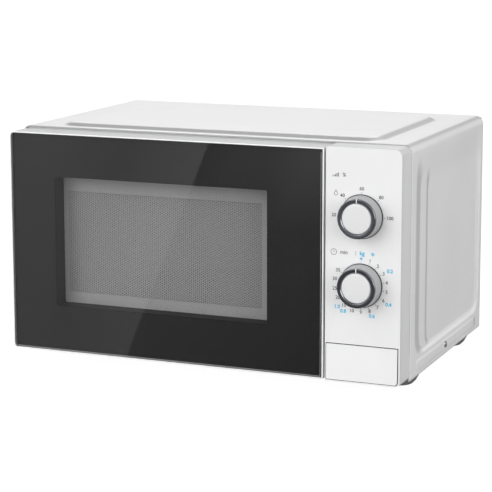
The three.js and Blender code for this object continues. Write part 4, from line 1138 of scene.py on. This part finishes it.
def keep_node(node, look, edge):
    """Gives a CAD node its material, and merges its flat facets so that its edges can be softened."""
    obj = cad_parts[node]
    obj.data.materials.clear()
    obj.data.materials.append(look)
    if edge:
        weld = obj.modifiers.new("weld", "WELD")
        weld.merge_threshold = 2e-6
        flat = obj.modifiers.new("flatten", "DECIMATE")
        flat.decimate_type = "DISSOLVE"
        flat.angle_limit = math.radians(1)
        soften(obj, edge, 2, 30)


for node_look, node_edge, names in KEPT:
    for node_name in names.split():
        keep_node(node_name, node_look, node_edge)

# ---------------------------------------------------------------- stage

def staged(name, points, faces, material):
    """A floor or reflector, in metres."""
    mesh = bpy.data.meshes.new(name)
    mesh.from_pydata(points, [], faces)
    mesh.materials.append(material)
    obj = placed(name, mesh)
    return obj


def card(name, rows):
    """A reflector seen only in glossy surfaces. Each row is a list of (x, z, level) from left to right."""
    points = [(x, CARD_Y, z) for row in rows for x, z, _ in row]
    look = Look(name, (1, 1, 1), 1)
    look.tree.nodes.remove(look.surface)
    glow = look.node("ShaderNodeAttribute", attribute_name="level")
    emitter = look.node("ShaderNodeEmission")
    look.link(glow.outputs["Fac"], emitter.inputs["Strength"])
    look.link(emitter.outputs["Emission"], look.tree.nodes["Material Output"].inputs["Surface"])
    obj = staged(name, points, grid(len(rows[0]), len(rows)), look.material)
    levels = obj.data.attributes.new("level", "FLOAT", "POINT").data
    levels.foreach_set("value", [level for row in rows for _, _, level in row])
    obj.visible_camera = False
    obj.visible_diffuse = False
    obj.visible_transmission = False
    obj.visible_shadow = False


def floor_material():
    look = Look("studio_floor", (0.12, 0.12, 0.12), 0.9, Specular_IOR_Level=0.0)
    fill(look.surface, Emission_Color=(1, 1, 1, 1), Emission_Strength=0.97)
    look.tint(look.noise(2, 2), (0.115, 0.115, 0.115), 0.5)
    return look.material


REACH = 12
floor_corners = [(x * REACH, y * REACH, 0) for x, y in ((-1, -1), (1, -1), (1, 1), (-1, 1))]
floor = staged("studio_floor", floor_corners, [(0, 1, 2, 3)], floor_material())
floor.visible_glossy = False
floor.visible_diffuse = False

# Two cards stand in front of the door, seen only in its glass: a bright one on the left and a dim one on
# the right, lighter towards its top. Their common edge makes the slanting line in the glass.
CARD_Y = -1.0
EDGE_TOP, EDGE_LOW = (-0.3642, 0.1255), (-0.5084, -0.2237)


def edge_x(z):
    return EDGE_LOW[0] + (z - EDGE_LOW[1]) * (EDGE_TOP[0] - EDGE_LOW[0]) / (EDGE_TOP[1] - EDGE_LOW[1])


card("bright_card", [[(-1.8, z, far), (-0.62, z, far), (edge_x(z) - 0.14, z, mid), (edge_x(z), z, near)]
                     for z, far, mid, near in ((-0.7, 0.39, 0.35, 0.45), (-0.22, 0.39, 0.35, 0.45),
                                               (0.14, 0.5, 0.39, 0.6), (0.7, 0.54, 0.44, 0.68))])
card("dim_card", [[(edge_x(z), z, near), (-0.27, z, mid), (-0.17, z, far), (0.5, z, far)]
                  for z, near, mid, far in ((-0.7, 0.15, 0.09, 0.05), (-0.22, 0.15, 0.09, 0.05),
                                            (0.0, 0.14, 0.15, 0.15), (0.14, 0.15, 0.29, 0.5),
                                            (0.7, 0.19, 0.39, 0.58))])


AIM = Vector((0, 0, 0.12))


def area_light(name, place, size, power):
    """A square light aimed at the oven's middle; size in metres, power in watts."""
    data = bpy.data.lights.new(name, "AREA")
    data.energy = power
    data.size = size
    obj = placed(name, data)
    obj.location = place
    obj.rotation_mode = "QUATERNION"
    obj.rotation_quaternion = (AIM - Vector(place)).to_track_quat("-Z", "Y")


area_light("key_light", (-1.6, -2.0, 2.2), 3.0, 36)
area_light("left_light", (-1.6, -2.6, 0.7), 3.2, 48)
area_light("right_light", (1.9, -2.2, 1.1), 2.0, 9)
area_light("side_light", (2.6, -1.2, 0.9), 1.6, 25)
area_light("back_light", (-0.8, 2.0, 1.8), 1.4, 16)

# The world glows most near the horizon; the camera itself sees plain white.
world = bpy.data.worlds.new("studio")
world.use_nodes = True
bpy.context.scene.world = world
nodes, links = world.node_tree.nodes, world.node_tree.links
background = fill(nodes["Background"], Color=(1, 1, 1, 1))
where = nodes.new("ShaderNodeTexCoord")
split = nodes.new("ShaderNodeSeparateXYZ")
shade = nodes.new("ShaderNodeValToRGB")
for stop, (at, level) in zip((0, 1), ((0.0, 0.25), (1.0, 0.32))):
    shade.color_ramp.elements[stop].position = at
    shade.color_ramp.elements[stop].color = (level, level, level, 1)
for at, level in ((0.45, 0.27), (0.52, 1.0), (0.62, 0.5)):
    shade.color_ramp.elements.new(at).color = (level, level, level, 1)
rise = fill(nodes.new("ShaderNodeMapRange"), From_Min=-1, From_Max=1)
links.new(where.outputs["Generated"], split.inputs["Vector"])
links.new(split.outputs["Z"], rise.inputs["Value"])
links.new(rise.outputs["Result"], shade.inputs["Fac"])
links.new(shade.outputs["Color"], background.inputs["Strength"])
seen = fill(nodes.new("ShaderNodeBackground"), Color=(1, 1, 1, 1), Strength=1.05)
path = nodes.new("ShaderNodeLightPath")
mixer = nodes.new("ShaderNodeMixShader")
links.new(path.outputs["Is Camera Ray"], mixer.inputs["Fac"])
links.new(background.outputs["Background"], mixer.inputs[1])
links.new(seen.outputs["Background"], mixer.inputs[2])
links.new(mixer.outputs["Shader"], nodes["World Output"].inputs["Surface"])

YAW, PITCH, ROLL = math.radians(22.489), math.radians(9.327), math.radians(-0.071)
camera_data = bpy.data.cameras.new("camera")
camera_data.lens = 134.64
camera_data.sensor_width = 36
camera_data.shift_y = -0.1
camera_data.clip_start = 0.05
camera_data.clip_end = 50
camera = placed("camera", camera_data)
looking = Vector((-math.sin(YAW) * math.cos(PITCH), math.cos(YAW) * math.cos(PITCH), -math.sin(PITCH)))
turned = looking.to_track_quat("-Z", "Y").to_matrix() @ Matrix.Rotation(ROLL, 3, "Z")
camera.matrix_world = Matrix.Translation((0.7617, -1.8516, 0.5027)) @ turned.to_4x4()
bpy.context.scene.camera = camera
bpy.context.scene.view_settings.view_transform = "Standard"
